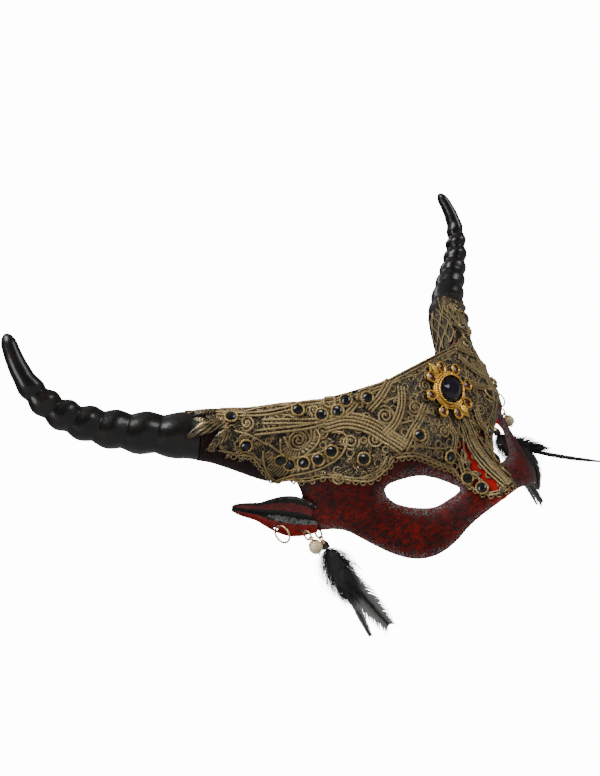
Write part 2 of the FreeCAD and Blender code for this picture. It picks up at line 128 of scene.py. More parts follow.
class MaskSizes(bpy.types.PropertyGroup):
    """Sizes that a user would change, in metres."""
    shell_voxel: FloatProperty(name="Shell grain", description="Mesh spacing of the moulded shell",
                               default=0.00065,
                               min=0.0005, max=0.003, subtype="DISTANCE", unit="LENGTH")
    ear_voxel: FloatProperty(name="Ear grain", description="Mesh spacing of the ears", default=0.00045,
                             min=0.0003, max=0.002, subtype="DISTANCE", unit="LENGTH")
    cord_radius: FloatProperty(name="Cord radius", description="Radius of the lace's outline cord",
                               default=0.00062,
                               min=0.0003, max=0.001, subtype="DISTANCE", unit="LENGTH")
    stone_radius: FloatProperty(name="Stone radius", description="Radius of a small set stone",
                                default=0.0023,
                                min=0.001, max=0.003, subtype="DISTANCE", unit="LENGTH")
    barbs: IntProperty(name="Down barbs", description="Number of barbs in one tassel's down", default=2600,
                       min=100, max=6000)
    horn_relief: FloatProperty(name="Horn ridge relief", description="Height of the horn's swellings",
                               default=0.0008, min=0, max=0.002, subtype="DISTANCE", unit="LENGTH")


def colour(label, note, value):
    """A colour property with its name, description and default."""
    return FloatVectorProperty(name=label, description=note, default=value, size=3, min=0, max=1,
                               subtype="COLOR")


class MaskColours(bpy.types.PropertyGroup):
    """Finish colours that a user would change, in linear light."""
    paint: colour("Outer red", "Ground colour of the outside paint", (0.20, 0.0065, 0.003))
    lining: colour("Inner red", "Colour of the inside paint", (0.46, 0.012, 0.010))
    lacquer: colour("Lacquer", "Black of the horns and brushwork", (0.0035, 0.003, 0.0028))
    gold: colour("Lace gold", "Metallic thread of the lace", (0.50, 0.37, 0.17))
    bright_gold: colour("Bright gold", "Wire, rings and bezel", (0.80, 0.47, 0.09))
    pearl: colour("Pearl", "Body colour of the pearl drops", (0.78, 0.68, 0.42))


# ---- curves and surfaces ------------------------------------------------------------------
def bump(x, centre, width):
    """Bell curve: e to the minus square of the distance from the centre in widths."""
    return np.exp(-((x - centre) / width) ** 2)


def smooth_step(t):
    """0 below 0, 1 above 1, and t squared times (3 - 2 t) between."""
    t = np.clip(t, 0, 1)
    return t * t * (3 - 2 * t)


def unit(v):
    """Vectors scaled to length one."""
    return v / np.maximum(np.linalg.norm(v, axis=-1, keepdims=True), 1e-12)


def through(points, count, closed=False):
    """Smooth curve through points: each stretch is the cubic whose end slopes are half the step between
    neighbours."""
    p = np.asarray(points, float)
    k = len(p)
    spans = k if closed else k - 1
    t = np.linspace(0, spans, count, endpoint=not closed)
    i = np.minimum(t.astype(int), spans - 1)
    f = (t - i)[:, None]
    if closed:
        a, b, c, d = p[(i - 1) % k], p[i % k], p[(i + 1) % k], p[(i + 2) % k]
    else:
        padded = np.vstack([2 * p[0] - p[1], p, 2 * p[-1] - p[-2]])
        a, b, c, d = padded[i], padded[i + 1], padded[i + 2], padded[i + 3]
    return b + 0.5 * f * (c - a + f * (2 * a - 5 * b + 4 * c - d + f * (3 * (b - c) + d - a)))


def evenly(points, spacing):
    """The same curve resampled at equal steps of arc length."""
    steps = np.linalg.norm(np.diff(points, axis=0), axis=1)
    run = np.concatenate([[0], np.cumsum(steps)])
    count = max(int(run[-1] / spacing) + 1, 4)
    at = np.linspace(0, run[-1], count)
    return np.stack([np.interp(at, run, points[:, k]) for k in range(points.shape[1])], 1)


def face_surface(angle, z, lift=0.0):
    """Face: an ellipse in plan, x = half width times sine and y = half depth times (1 - cosine), moved
    along its normal by the nose (a bell across, growing downwards), the brow roll, the eye hollow and the
    cheek."""
    angle, z = np.broadcast_arrays(np.asarray(angle, float), np.asarray(z, float))
    x = HALF_WIDTH * np.sin(angle)
    y = BRIDGE_Y - 3.5 * bump(z, 34, 26) + HALF_DEPTH * (1 - np.cos(angle))
    s = np.abs(x)
    nose = 11 * smooth_step((8 - z) / 38) * np.exp(-(s / (8.5 + 4 * smooth_step(-z / 28))) ** 2)
    brow = 3 * bump(z, 15 + 0.1 * s, 8) * bump(s, 30, 26)
    hollow = -4 * np.exp(-((s - 33) / 20) ** 2 - ((z + 2 - 0.3 * (s - 34)) / 11) ** 2)
    cheek = 1.5 * bump(s, 42, 22) * bump(z, -22, 11)
    out = unit(np.stack([np.sin(angle) / HALF_WIDTH, -np.cos(angle) / HALF_DEPTH, np.zeros_like(angle)], -1))
    return np.stack([x, y, z], -1) + out * (nose + brow + hollow + cheek + lift)[..., None]


def flare_surface(grow=0.0, rows=160, turns=240):
    """Flare: ovals carried along a smooth curve; centre plus tall axis times cosine plus thin axis times
    sine."""
    path = through(FLARE, rows)
    centre, tall, deep = path[:, :3], path[:, 3], path[:, 4]
    along = unit(np.gradient(centre, axis=0))
    thin = unit(FLARE_THIN - along * (along @ FLARE_THIN)[:, None])
    high = np.cross(along, thin)
    turn = np.linspace(0, 2 * math.pi, turns)[None, :, None]
    return (centre[:, None] + (high * (tall + grow)[:, None])[:, None] * np.cos(turn)
            + (thin * (deep + grow)[:, None])[:, None] * np.sin(turn))


def horn_foot():
    """First sixth of the horn: circles of the neck's radius carried along the start of the horn's curve,
    without the curve's last term, which is under one millimetre there."""
    t = np.linspace(0, 0.14, 120)[:, None]
    path = (HORN_AXIS[0] * (1 - t) ** 3 + HORN_AXIS[1] * 3 * t * (1 - t) ** 2
            + HORN_AXIS[2] * 3 * t * t * (1 - t))
    ahead = unit(np.gradient(path, axis=0))
    side = unit(np.cross(ahead, [0.0, 1.0, 0.0]))
    turn = np.linspace(0, 2 * math.pi, 300)[None, :, None]
    ring = side[:, None] * np.cos(turn) + np.cross(side, ahead)[:, None] * np.sin(turn)
    return path[:, None] + ring * HORN_FOOT


class Seat:
    """Front of the left half of the mask as a height map: the frontmost y over a square grid of (x, z)."""
    STEP, LOW, SHAPE = 0.75, (-6.0, -36.0), (180, 210)

    def __init__(self):
        self.map = np.full(self.SHAPE, 1e3)
        angles, heights = np.meshgrid(np.linspace(-0.1, SWEEP, 420), np.linspace(-36, 62, 420), indexing="ij")
        self.add(face_surface(angles, heights))
        face = self.map.copy()
        self.map[:] = 1e3
        self.add(flare_surface(0.0, 420, 900))
        self.add(horn_foot())
        self.solid = self.map < 900
        self.map = np.minimum(self.map, face)
        for _ in range(40):
            self.fill()
        for _ in range(2):
            padded = np.pad(self.map, 1, mode="edge")
            steps = [(i, j) for i in range(3) for j in range(3)]
            self.map = sum(padded[i:i + self.SHAPE[0], j:j + self.SHAPE[1]] for i, j in steps) / 9

    def add(self, patch):
        """Every point is carried along its own tangent plane to its cell's centre, and the frontmost is
        kept."""
        across, upward = np.gradient(patch, axis=0), np.gradient(patch, axis=1)
        normal = unit(np.cross(across, upward))
        keep = np.abs(normal[..., 1]) > 0.12
        p, n = patch[keep], normal[keep]
        cell = [np.rint((p[:, k] - low) / self.STEP).astype(int) for k, low in zip((0, 2), self.LOW)]
        inside = (cell[0] >= 0) & (cell[0] < self.SHAPE[0]) & (cell[1] >= 0) & (cell[1] < self.SHAPE[1])
        p, n, cell = p[inside], n[inside], [c[inside] for c in cell]
        dx, dz = (cell[0] * self.STEP + self.LOW[0] - p[:, 0], cell[1] * self.STEP + self.LOW[1] - p[:, 2])
        np.minimum.at(self.map, (cell[0], cell[1]), p[:, 1] - (n[:, 0] * dx + n[:, 2] * dz) / n[:, 1])

    def fill(self):
        """Empty cells take the mean of their filled neighbours."""
        padded = np.pad(self.map, 1, mode="edge")
        steps = ((0, 1), (2, 1), (1, 0), (1, 2))
        near = np.stack([padded[i:i + self.SHAPE[0], j:j + self.SHAPE[1]] for i, j in steps])
        known = near < 900
        mean = (near * known).sum(0) / np.maximum(known.sum(0), 1)
        self.map = np.where((self.map > 900) & known.any(0), mean, self.map)

    def y(self, x, z):
        """Height between the four nearest cells, in proportion."""
        u = np.clip((np.abs(x) - self.LOW[0]) / self.STEP, 0, self.SHAPE[0] - 2.001)
        v = np.clip((z - self.LOW[1]) / self.STEP, 0, self.SHAPE[1] - 2.001)
        i, j = u.astype(int), v.astype(int)
        f, g, m = u - i, v - j, self.map
        return ((m[i, j] * (1 - f) + m[i + 1, j] * f) * (1 - g)
                + (m[i, j + 1] * (1 - f) + m[i + 1, j + 1] * f) * g)

    def top(self, x):
        """Highest z of the front at x: the higher of the face's upper edge and the flare, the flare's
        averaged over seven cells."""
        cells = np.where(self.solid, np.arange(self.SHAPE[1])[None, :], -1).max(1) * self.STEP + self.LOW[1]
        cells = np.convolve(np.pad(cells, 3, mode="edge"), np.ones(7) / 7, mode="valid")
        flare = np.interp(np.abs(x), np.arange(self.SHAPE[0]) * self.STEP + self.LOW[0], cells)
        return np.maximum(flare, np.interp(np.abs(x), UPPER_EDGE[:, 0], UPPER_EDGE[:, 1]))

    def at(self, flat, lift=0.0):
        """Points and outward normals over (x, z) pairs: the height map moved out along its normal by lift.
        Pairs above the top edge are held just past it."""
        flat = np.asarray(flat, float)
        x = flat[..., 0]
        z = np.minimum(flat[..., 1], self.top(x) + 0.4)
        reach = 1.2
        slope_x = (self.y(x + reach, z) - self.y(x - reach, z)) / (2 * reach)
        slope_z = (self.y(x, z + reach) - self.y(x, z - reach)) / (2 * reach)
        normal = unit(np.stack([slope_x, -np.ones_like(x), slope_z], -1))
        point = np.stack([x, self.y(x, z), z], -1)
        return point + normal * np.asarray(lift)[..., None], normal


SEAT = Seat()


def on_surface(local, centre, turn=0.0):
    """Motif points (p, q) in the plane that touches the mask at a centre, turned, back as (x, z) pairs."""
    _, normal = SEAT.at(np.array([centre]))
    n = normal[0]
    across = unit(np.array([1.0, -n[0] / n[1], 0]))
    upward = np.cross(n, across)
    upward = upward if upward[2] > 0 else -upward
    c, s = math.cos(turn), math.sin(turn)
    local = np.asarray(local, float)
    p, q = local[..., 0] * c - local[..., 1] * s, local[..., 0] * s + local[..., 1] * c
    return np.stack([centre[0] + p * across[0] + q * upward[0], centre[1] + p * across[2] + q * upward[2]],
                    -1)


class Heap:
    """Grids of points gathered into one mesh, each point with a run (mm along its thread) and a height (0
    to 1)."""

    def __init__(self):
        self.points, self.faces, self.run, self.height, self.count = [], [], [], [], 0

    def grid(self, points, run=0.0, height=1.0, wrap=(False, False), flip=False):
        """Adds an m by n grid as quads; wrap joins the last row or column to the first."""
        m, n = points.shape[:2]
        index = np.arange(m * n).reshape(m, n) + self.count
        if wrap[0]:
            index = np.vstack([index, index[:1]])
        if wrap[1]:
            index = np.hstack([index, index[:, :1]])
        quads = np.stack([index[:-1, :-1], index[1:, :-1], index[1:, 1:], index[:-1, 1:]], -1).reshape(-1, 4)
        self.faces.append(quads[:, ::-1] if flip else quads)
        self.points.append(points.reshape(-1, 3))
        for store, value in ((self.run, run), (self.height, height)):
            store.append(np.broadcast_to(value, (m, n)).reshape(-1).astype(float))
        self.count += m * n

    def tube(self, path, radius, normal, sides=7, closed=False):
        """Round tube: centre plus radius times (cosine of side plus sine of normal); open ends close up."""
        path, normal = np.asarray(path, float), np.asarray(normal, float)
        steps = np.linalg.norm(np.diff(path, axis=0), axis=1)
        run = np.concatenate([[0], np.cumsum(steps)])
        if closed:
            ahead = np.roll(path, -1, 0) - np.roll(path, 1, 0)
        else:
            ahead = np.gradient(path, axis=0)
        ahead = unit(ahead)
        side = unit(np.cross(ahead, np.broadcast_to(normal, path.shape)))
        up = np.cross(side, ahead)
        radius = np.broadcast_to(np.asarray(radius, float), run.shape).copy()
        if not closed:
            radius[[0, -1]] = 0.0
            radius[[1, -2]] *= 0.8
        turn = np.linspace(0, 2 * math.pi, sides, endpoint=False)[None, :, None]
        ring = side[:, None] * np.cos(turn) + up[:, None] * np.sin(turn)
        points = path[:, None] + ring * radius[:, None, None]
        # Height mark: 0 on the belly against the wall, 1 on the outer top; the lace thread finish paints the
        # low side near black as painted shade
        height = 0.5 + 0.5 * np.sin(turn[..., 0])
        self.grid(points, run[:, None], height, wrap=(closed, True))

    def cord(self, flat, radius=0.6, lift=None, spacing=0.8, closed=False, mirror=1, curve=True):
        """Cord laid on the mask along (x, z) points, its belly on the wall."""
        flat = np.asarray(flat, float)
        if curve:
            flat = through(flat, max(len(flat) * 14, 20), closed)
            flat = np.vstack([flat, flat[:1]]) if closed else flat
            flat = evenly(flat, spacing)
            flat = flat[:-1] if closed else flat
        rise = LACE_LIFT + radius * 0.8 if lift is None else lift
        points, normal = SEAT.at(flat, rise)
        side = np.array([mirror, 1, 1])
        self.tube(points * side, radius, normal * side, closed=closed)

    def leaf(self, base, turn, length, width, mirror=1, lift=0.25, dome=1.25, rows=21, columns=9):
        """Padded leaf: half width is a skewed sine of the share along it, the dome a half circle across
        with a groove down the middle, less a cosine of the distance along the ribs, which slope back from
        the vein."""
        u = np.linspace(0, 1, rows)[:, None]
        v = np.linspace(-1, 1, columns)[None, :]
        half = width * 0.5 * np.sin(math.pi * u ** 0.8) ** 0.8
        local = np.stack([np.broadcast_to(u * length, (rows, columns)), v * half], -1)
        local[..., 1] += 0.10 * length * np.sin(math.pi * u) * 0.6
        flat = on_surface(local, base, turn)
        crown = np.sqrt(np.maximum(1 - v ** 2, 0)) * (1 - 0.30 * np.exp(-(v / 0.22) ** 2))
        height = crown * np.sin(math.pi * np.clip(u, 0.03, 0.97)) ** 0.5
        lean = u * length + np.abs(v) * width * 0.35
        ribs = 0.5 + 0.5 * np.cos(2 * math.pi * lean / 1.25)
        points, _ = SEAT.at(flat, lift - 0.4 + (dome + 0.4) * height ** 0.6 - 0.26 * (1 - ribs) * height)
        # The height mark kept here falls at the leaf's edges and in its rib grooves, where the lace thread
        # finish paints shade
        self.sheet(points, 0.0, (0.5 + 0.55 * height) * (0.5 + 0.6 * ribs), mirror)

    def sheet(self, points, run, height, mirror):
        """Adds a laid patch so that it faces outwards on either half."""
        self.grid(points * np.array([mirror, 1, 1]), run, height, flip=mirror < 0)

    def build(self, name, material, smooth=True, recalc=False):
        """One object at the origin, in metres, with the run and height kept as attributes."""
        mesh = bpy.data.meshes.new(name)
        points, faces = np.vstack(self.points) * MM, np.vstack(self.faces)
        mesh.from_pydata(points, [], faces.tolist())
        for label, values in (("run", self.run), ("height", self.height)):
            mesh.attributes.new(label, "FLOAT", "POINT").data.foreach_set("value", np.concatenate(values))
        return finished(name, mesh, material, smooth, recalc)


def finished(name, mesh, material, smooth=True, recalc=False):
    """Merges doubles, turns faces outwards where asked, shades and links an object made from a mesh."""
    bm = bmesh.new()
    bm.from_mesh(mesh)
    bmesh.ops.remove_doubles(bm, verts=bm.verts, dist=2e-6)
    bmesh.ops.dissolve_degenerate(bm, edges=bm.edges, dist=1e-7)
    if recalc:
        bmesh.ops.recalc_face_normals(bm, faces=bm.faces)
    bm.to_mesh(mesh)
    bm.free()
    mesh.polygons.foreach_set("use_smooth", [smooth] * len(mesh.polygons))
    mesh.materials.append(material)
    obj = bpy.data.objects.new(name, mesh)
    bpy.context.scene.collection.objects.link(obj)
    return obj


def rides(obj, body, slot, *nodes):
    """Puts a piece on its body and hides the CAD nodes that it stands for; the slot is not used."""
    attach(obj, body)
    if nodes:
        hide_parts(*nodes)
    return obj


def mesh_points(mesh):
    """A mesh's points as an array, in millimetres."""
    flat = np.zeros(len(mesh.vertices) * 3)
    mesh.vertices.foreach_get("co", flat)
    return flat.reshape(-1, 3) / MM


def softened(node, voxel, passes):
    """The moulded form of a CAD node: its mesh remeshed with small cells and relaxed, so that rims and
    joins round."""
    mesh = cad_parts[node].data.copy()
    bm = bmesh.new()
    bm.from_mesh(mesh)
    bmesh.ops.remove_doubles(bm, verts=bm.verts, dist=1e-6)
    bm.to_mesh(mesh)
    bm.free()
    obj = bpy.data.objects.new(node + "_form", mesh)
    bpy.context.scene.collection.objects.link(obj)
    grain = obj.modifiers.new("grain", "REMESH")
    grain.mode, grain.voxel_size, grain.adaptivity = "VOXEL", voxel, 0.0
    relax = obj.modifiers.new("relax", "SMOOTH")
    relax.factor, relax.iterations = 0.5, passes
    made = bpy.data.meshes.new_from_object(obj.evaluated_get(bpy.context.evaluated_depsgraph_get()))
    bpy.data.objects.remove(obj)
    made.materials.clear()
    return made


# ---- finishes -----------------------------------------------------------------------------
class Wire:
    """A shader socket; arithmetic on it adds Math nodes."""

    def __init__(self, finish, socket):
        self.finish, self.socket = finish, socket

    def math(self, operation, first, second=None):
        sockets = {0: first} if second is None else {0: first, 1: second}
        return self.finish.node("ShaderNodeMath", {"operation": operation}, sockets)

    def __add__(self, other):
        return self.math("ADD", self, other)

    def __sub__(self, other):
        return self.math("SUBTRACT", self, other)

    def __rsub__(self, other):
        return self.math("SUBTRACT", other, self)

    def __mul__(self, other):
        return self.math("MULTIPLY", self, other)

    __radd__, __rmul__ = __add__, __mul__

    def sine(self):
        """Sine of the value."""
        return self.math("SINE", self)

    def clamped(self):
        """The value held between 0 and 1."""
        return self.finish.node("ShaderNodeClamp", {}, {"Value": self})

    def step(self, low, high):
        """0 below low, 1 above high and a smooth rise between."""
        settings = {"interpolation_type": "SMOOTHSTEP"}
        return self.finish.node("ShaderNodeMapRange", settings,
                                {"Value": self, "From Min": low, "From Max": high})


class Finish:
    """One procedural material and the few node calls that the finishes need."""

    def __init__(self, name):
        self.material = bpy.data.materials.new(name)
        self.material.use_nodes = True
        self.tree = self.material.node_tree
        self.shader = self.tree.nodes["Principled BSDF"]

    def node(self, kind, settings, sockets, out=0):
        """Adds a node: its settings first, then the value or link of each named socket; gives one output."""
        made = self.tree.nodes.new(kind)
        for key, value in settings.items():
            setattr(made, key, value)
        for key, value in sockets.items():
            self.put(made.inputs[key], value)
        return Wire(self, made.outputs[out])

    def put(self, socket, value):
        """Links a wire to a socket, or sets its value."""
        if isinstance(value, Wire):
            self.tree.links.new(value.socket, socket)
        elif hasattr(value, "__len__") and len(value) == 3 and socket.type == "RGBA":
            socket.default_value = (*value, 1)
        else:
            socket.default_value = value

    def place(self, stretch=(1, 1, 1)):
        """Object coordinates, stretched."""
        coordinates = self.node("ShaderNodeTexCoord", {}, {}, "Object")
        return self.node("ShaderNodeVectorMath", {"operation": "MULTIPLY"}, {0: coordinates, 1: stretch})

    def noise(self, scale, detail=3.0, roughness=0.55, stretch=(1, 1, 1)):
        """Cloudy value; scale is cells per metre."""
        sockets = {"Vector": self.place(stretch), "Scale": scale, "Detail": detail, "Roughness": roughness}
        return self.node("ShaderNodeTexNoise", {}, sockets)

    def cells(self, scale):
        """Distance to the edge of the nearest cell; scale is cells per metre."""
        sockets = {"Vector": self.place(), "Scale": scale}
        return self.node("ShaderNodeTexVoronoi", {"feature": "DISTANCE_TO_EDGE"}, sockets)

    def mark(self, name):
        """A number kept on the piece's points."""
        return self.node("ShaderNodeAttribute", {"attribute_name": name}, {}, "Fac")

    def mix(self, share, first, second):
        """Colour between two colours by a share."""
        return self.node("ShaderNodeMix", {"data_type": "RGBA"}, {0: share, 6: first, 7: second}, 2)

    def relief(self, height, depth, strength=1.0):
        """Bump of a height value, depth in metres, into the shader's normal."""
        sockets = {"Height": height, "Distance": depth, "Strength": strength}
        self.put(self.shader.inputs["Normal"], self.node("ShaderNodeBump", {}, sockets))

    def set(self, **values):
        """Sets shader sockets by name, underscores for spaces."""
        for key, value in values.items():
            self.put(self.shader.inputs[key.replace("_", " ")], value)
        return self.material


def shell_paint(colours):
    """Red paint dry-brushed with black and silver outside, streaked red inside, bare grey on the cut edges."""
    f = Finish("mask_paint")
    inside, rim, nose, flare = f.mark("inside"), f.mark("rim"), f.mark("nose"), f.mark("flare")
    cloud = f.noise(70, 4, 0.6)
    brush = f.noise(430, 5, 0.7, stretch=(0.6, 0.9, 1.5))
    speck = f.noise(1900, 3, 0.75)
    red = f.mix(cloud.step(0.3, 0.7), colours.paint, (0.075, 0.003, 0.002))
    red = f.mix(nose, red, (0.62, 0.014, 0.012))
    black = (brush * 0.70 + speck * 0.45 + flare * 0.30 - nose * 0.25).step(0.47, 0.66)
    red = f.mix(black * 0.93, red, colours.lacquer)
    silver = ((speck * 1.15 + brush * 0.35 + rim * 0.13).step(0.86, 0.96)) * (rim * 0.62 + 0.16)
    outside = f.mix(silver, red, (0.36, 0.35, 0.34))
    streak = f.noise(120, 4, 0.6, stretch=(0.5, 0.5, 2.2))
    lining = f.mix(streak.step(0.35, 0.75), colours.lining, (0.33, 0.010, 0.009))
    within = inside.step(0.62, 0.74)
    edge = inside.step(0.30, 0.40) * (1 - within)
    paint = f.mix(edge * (speck.step(0.4, 0.6) * 0.45 + 0.35), outside, (0.20, 0.17, 0.16))
    paint = f.mix(within, paint, lining)
    f.relief(brush * 0.5 + speck * 0.5, 0.00028, 0.7)
    return f.set(Base_Color=paint, Roughness=speck * 0.25 + 0.36 + within * 0.12,
                 Metallic=silver * (1 - within) * 0.7, Specular_IOR_Level=0.14)


def horn_lacquer(colours):
    """Deep gloss brown-black, with a painted highlight: browner on the crests of the swellings."""
    f = Finish("horn_lacquer")
    wave = f.noise(140, 4, 0.6)
    grain = f.noise(900, 4, 0.65)
    # Painted highlight: browner colour on the crests of the swellings, broken up by noise
    crest_highlight = f.mark("height") * wave.step(0.35, 0.75)
    shade = f.mix(crest_highlight * 0.7, colours.lacquer, (0.020, 0.011, 0.007))
    f.relief(wave * 0.75 + grain * 0.25, 0.0006, 0.6)
    return f.set(Base_Color=shade, Roughness=grain * 0.18 + 0.24, Coat_Weight=0.3, Coat_Roughness=0.15,
                 Specular_IOR_Level=0.35)


def ear_lacquer(colours):
    """Ear: black gloss on the upper rim and back, red body and lower rim, silver brushwork low in the
    hollow."""
    f = Finish("ear_paint")
    red, silvery = f.mark("red"), f.mark("silver")
    speck, brush = f.noise(1700, 3, 0.7), f.noise(420, 5, 0.7, stretch=(0.5, 0.8, 1.6))
    patch = (red + (brush - 0.5) * 0.9).step(0.42, 0.60)
    shade = f.mix(patch, colours.lacquer,
                  f.mix(brush.step(0.3, 0.7), (0.05, 0.003, 0.002), (0.19, 0.009, 0.006)))
    white = (silvery * 0.55 + brush * 0.55 + speck * 0.50 - 0.62).step(0.26, 0.42)
    shade = f.mix(white * 0.8, shade, (0.40, 0.39, 0.38))
    f.relief(brush * 0.6 + speck * 0.4, 0.0003, 0.7)
    return f.set(Base_Color=shade, Metallic=white * 0.8, Roughness=speck * 0.25 + 0.16, Coat_Weight=0.3,
                 Coat_Roughness=0.12, Specular_IOR_Level=0.35)


def lace_thread(colours):
    """Metallic thread, wrapped across its run; the gold stays on the crests, while the recesses, the cords'
    undersides and the rib grooves go near black as painted shade.
    """
    f = Finish("gold_lace")
    run, height = f.mark("run"), f.mark("height")
    wraps = (run * 7.5).sine() * 0.5 + 0.5
    age, fine = f.noise(190, 4, 0.6), f.noise(2600, 2, 0.6)
    # Mask of the high, outer side of cords and leaves, from the height mark with the wraps and noise; it is 0
    # in the recesses, on undersides and in rib grooves
    unshaded_crest = (height * 0.85 + wraps * 0.22 + (age - 0.5) * 0.9 + (fine - 0.5) * 0.3).step(0.62, 0.92)
    thread = f.mix(age.step(0.40, 0.70), colours.gold, (0.27, 0.185, 0.09))
    # Painted shade: near black where that mask is low, in the recesses and under the cords
    shade = f.mix(unshaded_crest, (0.006, 0.0045, 0.0035), thread)
    f.relief(wraps * 0.75 + fine * 0.25, 0.00022, 0.9)
    return f.set(Base_Color=shade, Metallic=unshaded_crest * 0.75 + 0.15, Roughness=fine * 0.2 + 0.24)


def lace_net():
    """Ground net behind the cords, near black as painted shade in the gaps between them, with a few bright
    threads.
    """
    f = Finish("lace_net")
    mesh = f.cells(620).step(0.02, 0.16)
    age = f.noise(260, 4, 0.6)
    bright = (1 - mesh) * age.step(0.36, 0.60)
    # Near black: painted shade in the gaps between the cords
    shade = f.mix(bright, (0.007, 0.005, 0.004), (0.34, 0.25, 0.115))
    f.relief((1 - mesh) * 0.8 + f.noise(1800, 2, 0.6) * 0.2, 0.0005, 1.0)
    return f.set(Base_Color=shade, Metallic=bright * 0.6, Roughness=0.5 - bright * 0.15)


def metal(name, shade, worn, roughness=0.2):
    """Polished metal with worn patches and fine scratches."""
    f = Finish(name)
    patch, fine = f.noise(420, 4, 0.6), f.noise(3200, 2, 0.6, stretch=(1, 1, 3))
    f.relief(fine, 0.00006, 0.5)
    return f.set(Base_Color=f.mix(patch.step(0.35, 0.75), shade, worn), Metallic=1.0,
                 Roughness=patch * 0.16 + roughness)


def black_glass(name, tint):
    """Near-black cut glass with faint clouding."""
    f = Finish(name)
    cloud = f.noise(500, 3, 0.5)
    return f.set(Base_Color=f.mix(cloud, (0.004, 0.004, 0.005), tint), Roughness=cloud * 0.06 + 0.03,
                 Coat_Weight=0.3, Coat_Roughness=0.02, Specular_IOR_Level=0.35)


def pearl_lustre(colours):
    """Cream pearl whose body colour drifts to tan and a greenish grey, under a soft gloss."""
    f = Finish("pearl")
    drift, fine = f.noise(260, 3, 0.5), f.noise(1500, 3, 0.6)
    shade = f.mix(drift.step(0.4, 0.62), colours.pearl, (0.72, 0.54, 0.30))
    shade = f.mix(fine.step(0.58, 0.72) * 0.35, shade, (0.62, 0.66, 0.58))
    f.relief(fine, 0.00008, 0.5)
    return f.set(Base_Color=shade, Roughness=drift * 0.12 + 0.16, Coat_Weight=0.7, Coat_Roughness=0.08)


def feather(name, dark, pale):
    """Feather: dark at the root, paler at the tip of each barb, with fine streaks."""
    f = Finish(name)
    height, streak = f.mark("height"), f.noise(900, 3, 0.6, stretch=(2, 2, 0.4))
    shade = f.mix((height * 0.75 + streak * 0.5 - 0.2).clamped(), dark, pale)
    return f.set(Base_Color=shade, Roughness=streak * 0.2 + 0.5)


def marks(mesh, **values):
    """Keeps numbers on a mesh's points as attributes."""
    for name, value in values.items():
        mesh.attributes.new(name, "FLOAT", "POINT").data.foreach_set("value", np.asarray(value, np.float32))


def outline_distance(flat, outline):
    """Distance from (x, z) pairs to the nearest stretch of a closed outline."""
    start, end = outline, np.roll(outline, -1, 0)
    span = end - start
    near = np.full(len(flat), 1e9)
    for a, d in zip(start, span):
        share = np.clip(((flat - a) @ d) / (d @ d), 0, 1)[:, None]
        near = np.minimum(near, np.linalg.norm(flat - a - share * d, axis=1))
    return near


# ---- the pieces ---------------------------------------------------------------------------
class MASK_OT_shell(bpy.types.Operator):
    """Moulded shell: face, tabs and flares in one skin, with paint marks worked out from the face surface"""
    bl_idname, bl_label = "mask.shell", "Shell"

    def execute(self, context):
        mesh = softened("mask_shell", context.scene.mask_sizes.shell_voxel, 6)
        p = mesh_points(mesh)
        angle = np.arcsin(np.clip(p[:, 0] / HALF_WIDTH, -0.99, 0.99))
        for _ in range(4):
            angle = angle + (p[:, 0] - face_surface(angle, p[:, 2])[:, 0]) / (HALF_WIDTH * np.cos(angle) + 2)
            angle = np.clip(angle, -1.42, 1.42)
        skin = face_surface(angle, p[:, 2])
        out = unit(np.stack([np.sin(angle) / HALF_WIDTH, -np.cos(angle) / HALF_DEPTH, 0 * angle], -1))
        depth = -np.einsum("ij,ij->i", p - skin, out) / WALL
        eye = through(EYE, 90, closed=True)
        flat = np.stack([np.abs(p[:, 0]), p[:, 2]], -1)
        to_eye = outline_distance(flat, eye)
        edge = np.array(LOWER_EDGE, float)
        above = p[:, 2] - np.interp(flat[:, 0], edge[:, 0], edge[:, 1])
        rim = np.maximum(np.exp(-(to_eye / 4.5) ** 2), np.exp(-(above / 3.5) ** 2) * 0.8)
        core = flat[:, 0] - 46
        flare = smooth_step((core + (p[:, 2] - 30) * 0.5) / 22) * smooth_step((p[:, 2] - 22) / 14)
        crown = np.interp(flat[:, 0], UPPER_EDGE[:, 0], UPPER_EDGE[:, 1])
        wall = (depth < 1.5) & (p[:, 2] < crown + 0.6) & (flat[:, 0] < 81)
        nose = bump(flat[:, 0], 0, 7.5) * smooth_step((20 - p[:, 2]) / 12)
        marks(mesh, inside=np.clip(depth, 0, 1) * wall, rim=rim * (depth < 1.5),
              flare=np.maximum(flare, ~wall), nose=nose)
        paint = shell_paint(context.scene.mask_colours)
        rides(finished("shell", mesh, paint), "mask", "mask_paint", "mask_shell")
        return {"FINISHED"}


